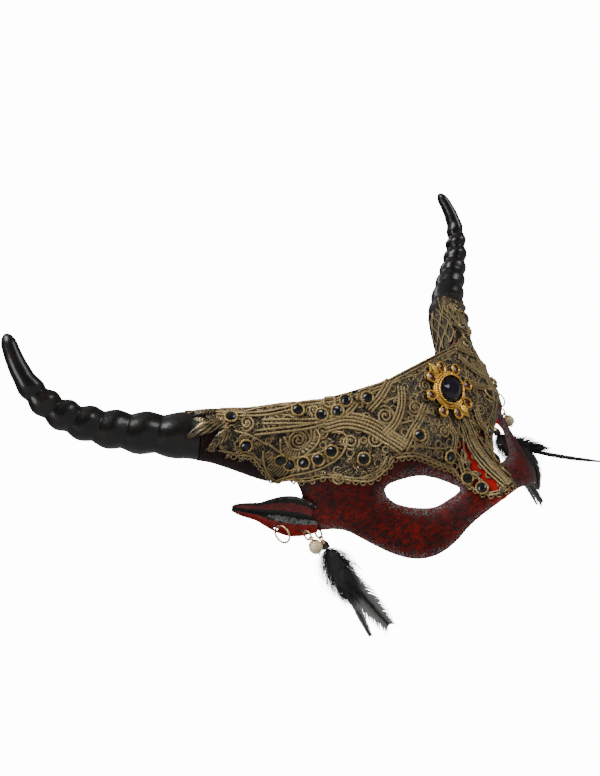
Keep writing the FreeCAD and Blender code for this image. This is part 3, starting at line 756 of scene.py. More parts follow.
class MASK_OT_horns(bpy.types.Operator):
    """Horns: circles carried along a cubic curve, their radius a taper plus rounded swellings that wind a
    little"""
    bl_idname, bl_label = "mask.horns", "Horns"

    def execute(self, context):
        relief = context.scene.mask_sizes.horn_relief / MM
        end = 1 - HORN_ROUNDED
        last = HORN_ROUNDED + end * np.sin(np.linspace(0.02, 1, 26) * math.pi / 2)
        t = np.concatenate([np.linspace(0.0, HORN_ROUNDED, 300), last])
        b = np.stack([(1 - t) ** 3, 3 * t * (1 - t) ** 2, 3 * t * t * (1 - t), t ** 3], 1)
        path = b @ HORN_AXIS
        ahead = unit(np.gradient(path, t, axis=0))
        side = unit(np.cross(ahead, [0.0, 1.0, 0.0]))
        up = np.cross(side, ahead)
        turn = np.linspace(0, 2 * math.pi, HORN_SIDES, endpoint=False)[None, :]
        taper = HORN_FOOT * (1 - t) + HORN_TIP * t
        fade = smooth_step((0.86 - t) / 0.24) * smooth_step(t / 0.05)
        phase = 2 * math.pi * HORN_SWELLINGS * t[:, None] + math.pi + 1.1 * np.cos(turn - 0.6)
        swell = (0.5 + 0.5 * np.cos(phase)) ** 0.6 * 2 - 1
        ripple = 0.10 * np.sin(3 * turn + 9 * t[:, None]) + 0.07 * np.sin(5 * turn - 23 * t[:, None])
        tip = np.sqrt(np.maximum(1 - (np.maximum(t - HORN_ROUNDED, 0) / end) ** 2, 0))
        radius = (taper[:, None] + (relief * swell * fade[:, None]) + ripple * fade[:, None]
                  - 0.2 + 0.8 * (1 - smooth_step(t / 0.07))[:, None]) * tip[:, None]
        points = path[:, None] + radius[..., None] * (side[:, None] * np.cos(turn)[..., None]
                                                      + up[:, None] * np.sin(turn)[..., None])
        points = np.concatenate([path[:1, None].repeat(HORN_SIDES, 1), points])
        # Height mark: high on the swellings' crests, where the horn lacquer paints a browner highlight
        height = np.concatenate([swell[:1], swell]) * 0.5 + 0.5
        lacquer = horn_lacquer(context.scene.mask_colours)
        for name, hand in SIDES.items():
            heap = Heap()
            heap.grid(points * np.array([hand, 1, 1]), 0.0, height, wrap=(False, True))
            rides(heap.build("horn_" + name + "_ribbed", lacquer, recalc=True), "mask", "horn_lacquer",
                  "horn_" + name)
        return {"FINISHED"}


class MASK_OT_ears(bpy.types.Operator):
    """Ears: curled leaves with rounded rims, painted by their place along and across the leaf"""
    bl_idname, bl_label = "mask.ears", "Ears"

    def execute(self, context):
        paint = ear_lacquer(context.scene.mask_colours)
        along = unit(EAR_TIP - EAR_BASE)
        facing = unit(EAR_FACING - along * (EAR_FACING @ along))
        across = np.cross(along, facing)
        for name, hand in SIDES.items():
            mesh = softened("ear_" + name, context.scene.mask_sizes.ear_voxel, 4)
            p = mesh_points(mesh) * np.array([hand, 1, 1]) - EAR_BASE
            s = np.clip(p @ along / np.linalg.norm(EAR_TIP - EAR_BASE), 0, 1)
            leaf = 0.55 + 0.45 * np.sin(math.pi * np.minimum(s / 0.7, 1))
            half = EAR_HALF * leaf * np.sqrt(1 - s ** 2.2 + 1e-6) + 0.35
            w = (p @ across) / half
            front = (p @ facing - 5.5 * w * w * half / EAR_HALF - 3 * s * s) / 1.8
            hollow = smooth_step((front - 0.35) / 0.4) * (1 - smooth_step((np.abs(w - 0.05) - 0.24) / 0.2))
            red = 0.85 * smooth_step((w + 0.74) / 0.2) * (1 - 0.6 * smooth_step((s - 0.8) / 0.2))
            silver = hollow * smooth_step((w + 0.2) / 0.3) * smooth_step((0.8 - s) / 0.3) * 0.8
            glint = smooth_step((-w - 0.72) / 0.15) * 0.66
            marks(mesh, red=red * (1 - hollow * 0.8) * smooth_step((front + 0.1) / 0.4) + 0.12,
                  silver=np.maximum(silver, glint))
            rides(finished("ear_" + name + "_leaf", mesh, paint), "mask", "mask_paint", "ear_" + name)
        return {"FINISHED"}


# forehead lace, one half: (x, z) from the centre plane outwards
LACE_LOWER = [(0, -22), (6, -21.5), (11, -18.5), (14, -10), (17, -1), (22, 3.5), (28, 9), (36, 15),
              (44.6, 18.5)]
SIDE_LOWER = [(44.6, 18.5), (50, 15.5), (56, 14.6), (62, 18.5), (69, 25.5), (76, 29.5), (84, 41), (91, 51.5),
              (97, 55.5), (104, 60), (110, 64)]
FOREHEAD_SPRAYS = [
    ([(4, 17), (10, 11), (17, 10.5), (25, 13.5), (34, 18.5), (42, 21.5)], 8, 6.2),
    ([(15, 26), (20, 35), (27, 42), (37, 44.5)], 6, 6.6),
    ([(2, 49.5), (11, 48), (20, 49.5), (31, 50), (40, 51)], 8, 5.4),
    ([(4, 13), (7, 5), (9.5, -3), (8, -10)], 5, 4.8),
    ([(17, 21), (24, 28), (33, 31), (43, 34)], 6, 6.4),
]
FOREHEAD_STRANDS = [
    [(40, 20), (32, 25), (24, 29), (17, 34)], [(44, 30), (36, 33), (29, 39), (24, 47)],
                    [(12, 20), (11, 13), (15, 7)],
    [(44, 44), (36, 47), (27, 52)],
]
FOREHEAD_COILS = [(30, 22, 5.6, 1.4), (23.5, 34.5, 4.4, 2.4), (38.5, 38, 4.9, 2.6), (11.5, 41.5, 3.9, 2.2),
                  (16, 18, 3.6, 2.2), (41.5, 26.5, 3.8, 2.2), (6.5, 45, 2.8, 1.8), (12, 1, 2.6, 1.7)]
SIDE_SPRAYS = [
    ([(46, 53), (55, 57.5), (65, 63), (76, 68), (87, 73), (98, 78)], 11, 6.0),
    ([(84, 52), (90, 60), (96, 66), (103, 74)], 7, 6.8),
    ([(85, 46), (93, 53.5), (103, 61)], 6, 6.2),
    ([(47, 21), (52, 17.5), (60, 18.5), (68, 26)], 6, 5.4),
    ([(50, 48), (58, 49), (67, 54), (76, 62), (85, 67)], 8, 6.2),
]
SIDE_COILS = [(72.4, 47.5, 6.0, 3.4), (63.5, 45.5, 4.0, 2.2), (80, 60, 4.8, 2.6), (89, 65.5, 3.6, 2.0),
              (50, 42, 4.6, 2.4), (47.5, 30, 4.4, 2.3), (74, 57.5, 3.4, 2.0), (66, 22.5, 3.0, 1.8),
              (62, 56, 3.4, 2.0), (97, 72, 3.8, 2.1), (56.5, 35, 4.2, 2.3)]
PAISLEY = [(85, 52), (82.8, 46), (78.5, 40), (74, 36.4), (69, 34.2), (63.5, 34.4), (59.5, 38.5), (62, 42.5)]
PAISLEY_EYE = [(78.5, 52.5), (77.5, 45.5), (72, 41.5), (66.5, 44), (66, 50)]
SWOOPS = [([(62, 47), (54, 44), (47, 36.5), (43, 28), (39.5, 20)], (-3.9, -2.3, -0.7, 0.9, 2.5), 0.85),
          ([(88, 60), (78, 55.5), (69, 51.5), (60, 48.5)], (-0.9, 0.8), 0.72),
          ([(46, 50), (53, 47.5), (62, 50.5), (72, 56), (84, 63)], (-0.8, 0.8), 0.7),
          ([(97, 76), (90, 70.5), (80, 65), (70, 61.5)], (-0.8, 0.8), 0.7)]
HORN_LEAVES = [((96, 70.0), 0.14, 20.0, 7.4), ((94, 65), -0.10, 16.0, 6.4), ((93, 76), 0.50, 13.5, 5.6)]


def coil(radius, turns):
    """Flat spiral: its radius grows in proportion to its turn, out to a full radius."""
    turn = np.linspace(0.6, 2 * math.pi * turns, int(turns * 16) + 4)
    reach = radius * (turn / turn[-1]) ** 0.9
    return np.stack([reach * np.cos(turn), reach * np.sin(turn)], -1)


def circle(radius, count=20):
    """Circle of points."""
    turn = np.linspace(0, 2 * math.pi, count, endpoint=False)
    return np.stack([radius * np.cos(turn), radius * np.sin(turn)], -1)


class LaceMaker:
    """Lays the motifs of one lace node into a heap of cords and a heap of net."""

    def __init__(self, cord_radius):
        self.cords, self.net, self.radius = Heap(), Heap(), cord_radius

    def ground(self, low, high, x_from, x_to, mirror, columns=70, rows=46):
        """Net between two edges: the share between the low and the high edge at each x, sunk at its
        borders."""
        x = np.linspace(x_from, x_to, columns)[:, None]
        share = np.linspace(0, 1, rows)[None, :]
        low, high = low(x), high(x)
        flat = np.stack([np.broadcast_to(x, (columns, rows)), low + (high - low) * share], -1)
        border = np.minimum(np.minimum(share, 1 - share) * (rows - 1), 1) * np.ones((columns, 1))
        border[[0, -1]] = 0
        points, _ = SEAT.at(flat, -0.5 + 1.05 * border)
        self.net.sheet(points, 0.0, border, mirror)

    def wrap(self, mirror):
        """Net and winding cords over the top and back of the flare: its ovals from the front ridge round to
        the rear, each cord a sine of the distance along it."""
        skin = flare_surface(0.0, 160, 1440)[14:138, 684:1056]
        normal = unit(np.cross(np.gradient(skin, axis=0), np.gradient(skin, axis=1)))
        share = [np.linspace(0, 1, count) for count in skin[::2, ::12].shape[:2]]
        border = np.minimum(np.minimum(share[0], 1 - share[0])[:, None],
                            np.minimum(share[1], 1 - share[1])[None, :])
        border = np.minimum(border * 20, 1)
        points = skin[::2, ::12] + normal[::2, ::12] * (0.9 * border - 0.4)[..., None]
        self.net.sheet(points, 0.0, border, mirror)
        rows = np.arange(len(skin))
        side = np.array([mirror, 1, 1])
        for k in range(7):
            turn = (28 + 50 * k + 20 * np.sin(rows / 9.0 + 2.1 * k)).astype(int)
            path = skin[rows, turn] + normal[rows, turn] * 0.95
            self.cords.tube(path[::2] * side, self.radius * 1.1, normal[rows, turn][::2] * side)

    def coil(self, x, z, radius, turns, mirror, hand=1):
        """Spiral cord with a bead of thread at its eye."""
        local = coil(radius, turns) * np.array([hand, 1])
        self.cords.cord(on_surface(local, (x, z), 0.7 * x), self.radius * 1.05, mirror=mirror, curve=False)
        self.cords.leaf((x - 0.9, z), 0, 1.8, 1.7, mirror, dome=1.7, rows=7, columns=7)

    def ring(self, x, z, radius, mirror, cord=None, lift=None):
        """Closed cord ring."""
        flat = on_surface(circle(radius), (x, z))
        self.cords.cord(flat, cord or self.radius, lift, mirror=mirror, closed=True, curve=False)

    def flower(self, x, z, petals, inner, length, mirror):
        """Petals round a centre."""
        for k in range(petals):
            turn = 2 * math.pi * k / petals + 0.3
            base = on_surface([(inner * math.cos(turn), inner * math.sin(turn))], (x, z))[0]
            self.cords.leaf(tuple(base), turn, length, length * 0.62, mirror, dome=1.4)

    def spray(self, path, leaves, length, mirror):
        """Stem cord with leaves that lean forwards to either side in turn, and one at its end."""
        line = through(path, 120)
        self.cords.cord(line, self.radius * 0.95, mirror=mirror, curve=False)
        for k in range(leaves):
            i = int((k + 0.6) / leaves * 112)
            ahead = line[i + 3] - line[i]
            lean = (0.72 if k % 2 else -0.72)
            turn = math.atan2(ahead[1], ahead[0]) + lean
            size = length * (0.86 + 0.14 * math.sin(2.3 * k + path[0][0]))
            self.cords.leaf(tuple(line[i]), turn, size, size * 0.46, mirror)
        ahead = line[-1] - line[-4]
        self.cords.leaf(tuple(line[-1]), math.atan2(ahead[1], ahead[0]), length, length * 0.5, mirror)

    def motifs(self, sprays, coils, mirror):
        """The sprays and then the coils of one table."""
        for path, leaves, length in sprays:
            self.spray(path, leaves, length, mirror)
        for k, (x, z, reach, turns) in enumerate(coils):
            self.coil(x, z, reach, turns, mirror, 1 if k % 2 else -1)

    def strands(self, path, offsets, mirror, radius=0.78):
        """Cords side by side along a path, moved across it by each offset."""
        line = evenly(through(path, 90), 0.42)
        ahead = unit(np.gradient(line, axis=0))
        across = np.stack([-ahead[:, 1], ahead[:, 0]], -1)
        for offset in offsets:
            ribs = radius * (1 + 0.17 * np.cos(2 * math.pi * np.arange(len(line)) * 0.42 / 1.45))
            self.cords.cord(line + across * offset, ribs, 1.15 - 0.10 * abs(offset), mirror=mirror,
                            curve=False)

    def band(self, path, width, mirror, dome=1.0):
        """Padded band: a half circle across a path, its ribs a cosine along it, with a cord down each
        side."""
        line = evenly(through(path, 120), 0.5)
        ahead = unit(np.gradient(line, axis=0))
        across = np.stack([-ahead[:, 1], ahead[:, 0]], -1)
        v = np.linspace(-1, 1, 13)[None, :]
        run = np.arange(len(line))[:, None] * 0.5
        taper = np.sin(math.pi * np.clip(run / run[-1], 0.02, 0.98)) ** 0.35
        flat = line[:, None] + across[:, None] * (v * width * 0.5 * taper)[..., None]
        height = np.sqrt(np.maximum(1 - v * v, 0)) * taper
        ribs = 0.5 + 0.5 * np.cos(2 * math.pi * (run + 0 * v) / 1.3)
        points, _ = SEAT.at(flat, -0.3 + (dome + 0.5) * height ** 0.5 - 0.16 * (1 - ribs) * height)
        # The height mark kept here falls at the band's sides and in its rib grooves, where the lace thread
        # finish paints shade
        self.cords.sheet(points, 0.0, (0.5 + 0.55 * height) * (0.5 + 0.6 * ribs), mirror)
        for edge in (-1, 1):
            self.cords.cord(line + across * (edge * width * 0.5 * taper), self.radius * 1.15, 0.95,
                            mirror=mirror,
                            curve=False)

    def border(self, edge, mirror, loop=1.25, pitch=3.1):
        """Two cords and a row of small loops along an edge."""
        line = evenly(through(edge, 160), 0.8)
        self.cords.cord(line, self.radius, mirror=mirror, curve=False)
        self.cords.cord(line + np.array([0, 1.5]), self.radius * 0.85, mirror=mirror, curve=False)
        for x, z in evenly(line, pitch):
            self.ring(x, z - 0.5, loop, mirror, self.radius * 0.72)

    def filler(self, low, high, x_from, x_to, mirror, seed):
        """Small rings scattered on a jittered triangular grid, below the main motifs."""
        random = np.random.default_rng(seed)
        rows = [(x, z) for k, x in enumerate(np.arange(x_from + 2, x_to - 5, 6.2))
                for z in np.arange(-24 + 3 * (k % 2), 90, 6.0)]
        spots = np.array(rows) + random.uniform(-0.9, 0.9, (len(rows), 2))
        keep = (spots[:, 1] > low(spots[:, 0]) + 2.2) & (spots[:, 1] < high(spots[:, 0]) - 1.6)
        for x, z in spots[keep]:
            self.ring(x, z, 1.25 + 0.55 * abs(math.sin(x * 3 + z)), mirror, self.radius * 0.75, 0.55)

    def made(self, name, node, slot, thread, net):
        """The cords and the net of one lace node as two pieces."""
        rides(self.cords.build(name + "_cords", thread), "mask", slot, node)
        rides(self.net.build(name + "_net", net), "mask", slot)


class MASK_OT_lace(bpy.types.Operator):
    """Cord lace: leaves, coils, flowers, strands and loops laid on the height map of the front and round
    the flares"""
    bl_idname, bl_label = "mask.lace", "Lace"

    def execute(self, context):
        radius = context.scene.mask_sizes.cord_radius / MM
        thread, net = lace_thread(context.scene.mask_colours), lace_net()
        edge, side = np.array(LACE_LOWER, float), np.array(SIDE_LOWER, float)

        def low(x):
            return np.interp(x, edge[:, 0], edge[:, 1])

        def side_low(x):
            return np.interp(x, side[:, 0], side[:, 1])

        def high(x):
            return SEAT.top(x) - 0.4

        centre = LaceMaker(radius)
        for seed, hand in enumerate(SIDES.values()):
            centre.ground(lambda x: np.maximum(low(x), 9 - 14 * smooth_step((x - 13) / 9)), high, 0.0, 44.8,
                          hand)
            centre.border(LACE_LOWER, hand)
            centre.border([(x, high(x) - 1.7) for x in np.linspace(0, 44, 12)], hand, loop=0.9)
            centre.filler(low, high, 1, 45, hand, 5 + seed)
            centre.motifs(FOREHEAD_SPRAYS, FOREHEAD_COILS, hand)
            for path in FOREHEAD_STRANDS:
                centre.strands(path, (-1.5, 0, 1.5), hand, 0.74)
            for x, z in CENTER_STONES[:3]:
                centre.flower(x, z, 7, 2.6, 3.4, hand)
            centre.strands([(2.9, 17), (3.0, 6), (2.7, -6), (2.3, -17), (1.6, -21)], (-0.85, 0.85), hand,
                           0.72)
            centre.cords.leaf((1.2, -18.5), -0.75, 7.5, 3.6, hand, dome=1.7)
            centre.strands([(14, -12), (12.5, -2), (13, 5), (20, 8)], (-0.8, 0.8), hand, 0.6)
        centre.strands([(0, 19), (0, 5), (0, -8), (0, -21)], (0,), 1, 1.15)
        centre.made("lace_forehead", "lace_forehead", "gold_lace", thread, net)
        for name, hand in SIDES.items():
            lace = LaceMaker(radius)
            lace.ground(side_low, high, 44.6, 101.5, hand, 90)
            lace.border(SIDE_LOWER[:-2], hand)
            lace.border([(x, high(x) - 1.6) for x in np.linspace(45, 104, 12)], hand, loop=0.9)
            lace.filler(side_low, high, 44, 106, hand, 11 + (hand > 0))
            lace.motifs(SIDE_SPRAYS, SIDE_COILS, hand)
            lace.flower(55.5, 25, 6, 2.6, 6.6, hand)
            for spot in SIDE_STONES[:2] + SIDE_STONES[7:11]:
                lace.flower(*spot, 7, 2.8, 3.3, hand)
            lace.band(PAISLEY, 7.4, hand)
            lace.band(PAISLEY_EYE, 3.6, hand, 1.2)
            for path, offsets, thickness in SWOOPS:
                lace.strands(path, offsets, hand, thickness)
            lace.ring(55.4, 56.4, 2.7, hand, radius * 1.3, 1.0)
            lace.wrap(hand)
            for base, turn, length, width in HORN_LEAVES:
                lace.cords.leaf(base, turn, length, width, hand, dome=2.0, rows=21, columns=11)
            lace.made("lace_" + name, "lace_" + name, "gold_lace", thread, net)
        return {"FINISHED"}


def seat_frame(spots, lift):
    """Centres, outward normals and two cross directions of small parts set on the lace at (x, z) spots."""
    points, normals = SEAT.at(np.array(spots, float), lift)
    side = unit(np.cross(normals, [0.0, 0.0, 1.0]))
    return points, normals, side, np.cross(normals, side)


def turned(centre, normal, side, up, profile, sides, twist=(), beads=0, depth=0.0):
    """Small turned form: (radius, height) rows carried round an axis, each row turned by its twist."""
    rows = np.array(profile, float)
    twist = np.array(twist if len(twist) else [0.0] * len(rows))
    turn = np.linspace(0, 2 * math.pi, sides, endpoint=False)[None, :] + twist[:, None]
    radius = rows[:, :1] * (1 + depth * np.cos(beads * turn))
    return (centre + normal * rows[:, 1][:, None, None] + side * (radius * np.cos(turn))[..., None]
            + up * (radius * np.sin(turn))[..., None])


class MASK_OT_stones(bpy.types.Operator):
    """Set stones: cut drums with a table, each in a ring of twisted cord"""
    bl_idname, bl_label = "mask.stones", "Stones"

    def execute(self, context):
        r = context.scene.mask_sizes.stone_radius / MM
        cut = [(0, -0.6), (r, -0.6), (r, 0.25), (r * 0.93, 0.55), (r * 0.52, 1.25), (0, 1.3)]
        half = math.pi / 8
        glass = black_glass("black_stone", (0.012, 0.013, 0.017))
        cord = metal("gold_cord", (0.52, 0.37, 0.15), (0.20, 0.13, 0.05), 0.3)
        sets = {"forehead": [(CENTER_STONES, 1), (CENTER_STONES, -1)], "left": [(SIDE_STONES, 1)],
                "right": [(SIDE_STONES, -1)]}
        for name, groups in sets.items():
            stones, rings = Heap(), Heap()
            for spots, hand in groups:
                mirror = np.array([hand, 1, 1])
                for frame_row in zip(*seat_frame(spots, LACE_LIFT + 1.55)):
                    shape = turned(*frame_row, cut, 8, (0, 0, 0, half, half * 2, 0))
                    stones.grid(shape * mirror, wrap=(False, True))
                    turn = np.linspace(0, 2 * math.pi, 56, endpoint=False)
                    centre, normal, side, up = frame_row
                    path = (centre - normal * 0.05
                            + (side * np.cos(turn)[:, None] + up * np.sin(turn)[:, None])
                            * (r + 0.62))
                    rings.tube(path * mirror, 0.58 * (1 + 0.17 * np.cos(14 * turn)), normal * mirror, 7,
                               closed=True)
            rides(stones.build("stones_" + name + "_cut", glass, smooth=False, recalc=True), "mask",
                  "black_stone",
                  "stones_" + name)
            rides(rings.build("stone_rings_" + name + "_cord", cord, recalc=True), "mask", "gold_cord",
                  "stone_rings_" + name)
        return {"FINISHED"}


class MASK_OT_medallion(bpy.types.Operator):
    """Forehead ornament: faceted oval stone in a beaded bezel, eight teardrop wire loops and two pointed
    leaves"""
    bl_idname, bl_label = "mask.medallion", "Medallion"

    def execute(self, context):
        colours = context.scene.mask_colours
        gold = metal("bright_gold", colours.bright_gold, (0.50, 0.27, 0.05), 0.16)
        back = SEAT.at(np.array([(0.0, GEM_CENTRE_Z)]), LACE_LIFT + 1.5)[0][0]
        wide = np.array([math.cos(GEM_TILT), 0, math.sin(GEM_TILT)])
        tall = np.array([-math.sin(GEM_TILT), 0, math.cos(GEM_TILT)])
        front = np.array([0.0, -1.0, 0.0])

        def lay(p, q, rise):
            return (back + wide * np.asarray(p)[..., None] + tall * np.asarray(q)[..., None]
                    + front * np.asarray(rise, float)[..., None])
        turn = np.linspace(0, 2 * math.pi, 140, endpoint=False)
        wire, enamel = Heap(), Heap()
        for grow, rise, radius, beads in ((1.35, 0.9, 0.85, 44), (0.55, 2.1, 0.5, 0), (2.6, 0.6, 0.4, 60)):
            path = lay((GEM_HALF[0] + grow) * np.cos(turn), (GEM_HALF[1] + grow) * np.sin(turn),
                       np.full(140, rise))
            wire.tube(path, radius * (1 + (0.2 * np.cos(beads * turn) if beads else 0 * turn)), front, 8,
                      closed=True)
        theta = np.linspace(0, 2 * math.pi, 48, endpoint=False)
        reach, breadth = 6.2 * np.sin(theta / 2) ** 2, 3.0 * np.sin(theta) * np.sin(theta / 2) ** 0.8
        for k in range(8):
            a = 2 * math.pi * (k + 0.5) / 8
            spot = np.array([(GEM_HALF[0] + 1.9) * math.cos(a), (GEM_HALF[1] + 1.9) * math.sin(a)])
            out = unit(np.array([math.cos(a) / GEM_HALF[0], math.sin(a) / GEM_HALF[1]]))
            p, q = spot[0] + out[0] * reach - out[1] * breadth, spot[1] + out[1] * reach + out[0] * breadth
            wire.tube(lay(p, q, np.full(48, 0.75)), 0.56, front, 8, closed=True)
            wire.tube(lay(p * 0.985, q * 0.985, np.full(48, 1.25)), 0.28, front, 6, closed=True)
            share = np.linspace(0, 1, 7)[:, None]
            heart = spot + out * 3.6
            enamel.grid(lay(heart[0] + (p - heart[0]) * share, heart[1] + (q - heart[1]) * share,
                            0.15 + 0.9 * np.sqrt(1 - share ** 2) + 0 * p), wrap=(False, True))
        for end in (1, -1):
            u, v = np.linspace(0, 1, 19)[:, None], np.linspace(-1, 1, 11)[None, :]
            breadth = 2.9 * np.sin(math.pi * u ** 0.62) ** 0.9 + 0.02
            rise = 0.1 + (1.5 * np.sqrt(np.maximum(1 - v * v, 0)) * (1 - 0.5 * np.exp(-(v / 0.2) ** 2))
                          - 0.14 * np.cos(2 * math.pi * (u * 6 + np.abs(v)))) * np.sin(math.pi * u) ** 0.5
            wire.grid(lay(breadth * v * end, end * (GEM_HALF[1] + 2.4 + 8.2 * u) + 0 * v, rise))
        for k in range(12):
            a = 2 * math.pi * k / 12 + 0.2
            bead = lay((GEM_HALF[0] + 0.5) * math.cos(a), (GEM_HALF[1] + 0.5) * math.sin(a), 2.5)
            ball = [(0.62 * math.sin(x), -0.62 * math.cos(x)) for x in np.linspace(0, math.pi, 7)]
            wire.grid(turned(bead, front, wide, tall, ball, 10), wrap=(False, True))
        rides(wire.build("medallion_frame_wire", gold, recalc=True), "mask", "gold_metal", "medallion_frame")
        garnet = black_glass("enamel", (0.16, 0.006, 0.005))
        rides(enamel.build("medallion_enamel", garnet, recalc=True), "mask", "black_stone")
        levels = [(0, 0.2, 0), (1.02, 0.2, 0), (1.04, 1.0, 0), (0.80, 2.9, 1), (0.46, 3.75, 0), (0, 3.75, 0)]
        gem, sides = Heap(), 10
        a = np.linspace(0, 2 * math.pi, sides, endpoint=False)[None, :]
        rows = np.array(levels)
        a = a + rows[:, 2:] * math.pi / sides
        gem.grid(lay(GEM_HALF[0] * rows[:, :1] * np.cos(a), GEM_HALF[1] * rows[:, :1] * np.sin(a),
                     rows[:, 1:2] + 0 * a), wrap=(False, True))
        violet = black_glass("forehead_stone", (0.016, 0.010, 0.022))
        rides(gem.build("medallion_gem_cut", violet, smooth=False, recalc=True), "mask", "black_stone",
              "medallion_gem")
        return {"FINISHED"}


def node_box(node):
    """Lowest and highest corner of a CAD node, in millimetres."""
    low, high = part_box(node)
    return np.array(low) / MM, np.array(high) / MM


def paint_node(node, material):
    """Gives a carried-over CAD node its finish."""
    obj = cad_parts[node]
    obj.data.materials.clear()
    obj.data.materials.append(material)


class MASK_OT_ear_drops(bpy.types.Operator):
    """Hoops, rings, pins and pearls at the ears; each pearl has a cap with six petals"""
    bl_idname, bl_label = "mask.ear_drops", "Ear drops"

    def execute(self, context):
        colours = context.scene.mask_colours
        pale = metal("pale_gold", (0.86, 0.66, 0.36), (0.60, 0.42, 0.18), 0.2)
        lustre = pearl_lustre(colours)
        for name in SIDES:
            for node in ("ear_hoop_", "pearl_ring_", "pearl_pin_", "tassel_ring_", "tassel_crimp_"):
                paint_node(node + name, pale)
            paint_node("pearl_" + name, lustre)
            low, high = node_box("pearl_" + name)
            centre, radius = (low + high) / 2, (high[2] - low[2]) / 2
            turn = np.linspace(0, 2 * math.pi, 48, endpoint=False)[None, :]
            rim = 0.80 + 0.16 * np.cos(6 * turn)
            share = np.concatenate([np.linspace(0.06, 1, 9), np.linspace(1, 0.06, 9)])[:, None]
            thickness = np.array([0.32] * 8 + [0.2] + [0.05] * 9)[:, None]
            shell = radius + thickness + 0.1 * np.cos(6 * turn) * (share > 0.9)
            polar = rim * share
            cap = centre + np.stack([shell * np.sin(polar) * np.cos(turn),
                                     shell * np.sin(polar) * np.sin(turn),
                                     shell * np.cos(polar)], -1)
            heap = Heap()
            heap.grid(cap, wrap=(True, True))
            rides(heap.build("pearl_cap_" + name, pale, recalc=True), "pearl_drop_" + name, "gold_metal")
        return {"FINISHED"}


def ribbons(heap, paths, across, width, height):
    """Flat barbs: every path (n by steps) gets a strip, its width times the across direction on either
    side."""
    n, steps = paths.shape[:2]
    edge = np.stack([paths - across * width[..., None], paths + across * width[..., None]], 2)
    index = np.arange(n * steps * 2).reshape(n, steps, 2) + heap.count
    quads = np.stack([index[:, :-1, 0], index[:, 1:, 0], index[:, 1:, 1], index[:, :-1, 1]],
                     -1).reshape(-1, 4)
    heap.points.append(edge.reshape(-1, 3))
    heap.faces.append(quads)
    heap.run.append(np.zeros(n * steps * 2))
    heap.height.append(np.repeat(np.broadcast_to(height, (n, steps)).reshape(-1), 2))
    heap.count += n * steps * 2


def vane(heap, quill, fan, reach, count, width, droop, seed):
    """Feather vane: barbs leave the quill to both sides, leaning towards its tip; length is a skewed sine
    along it."""
    random = np.random.default_rng(seed)
    ahead = unit(np.gradient(quill, axis=0))
    fan = unit(fan - ahead * np.sum(ahead * fan, 1, keepdims=True))
    at = np.linspace(0.04, 0.97, count)
    run = np.linspace(0, 1, len(quill))
    base = np.stack([np.interp(at, run, quill[:, k]) for k in range(3)], 1)
    lead = unit(np.stack([np.interp(at, run, ahead[:, k]) for k in range(3)], 1))
    side = unit(np.stack([np.interp(at, run, fan[:, k]) for k in range(3)], 1))
    length = reach * np.sin(math.pi * (at * 0.84 + 0.07) ** 0.7) ** 0.6 * random.uniform(0.86, 1.04, count)
    u = np.linspace(0, 1, 6)[None, :, None]
    thick = np.cross(lead, side)
    for hand in (1, -1):
        lean = random.uniform(0.62, 0.82, (count, 1, 1))
        barb = side[:, None] * hand * (1 - 0.25 * u) + lead[:, None] * lean * u ** 0.8
        paths = base[:, None] + length[:, None, None] * u * barb + thick[:, None] * (droop * u * u)
        tip = np.broadcast_to(width * (1 - 0.75 * u[..., 0] ** 2), (count, 6))
        ribbons(heap, paths, np.broadcast_to(lead[:, None], paths.shape), tip, u[..., 0])


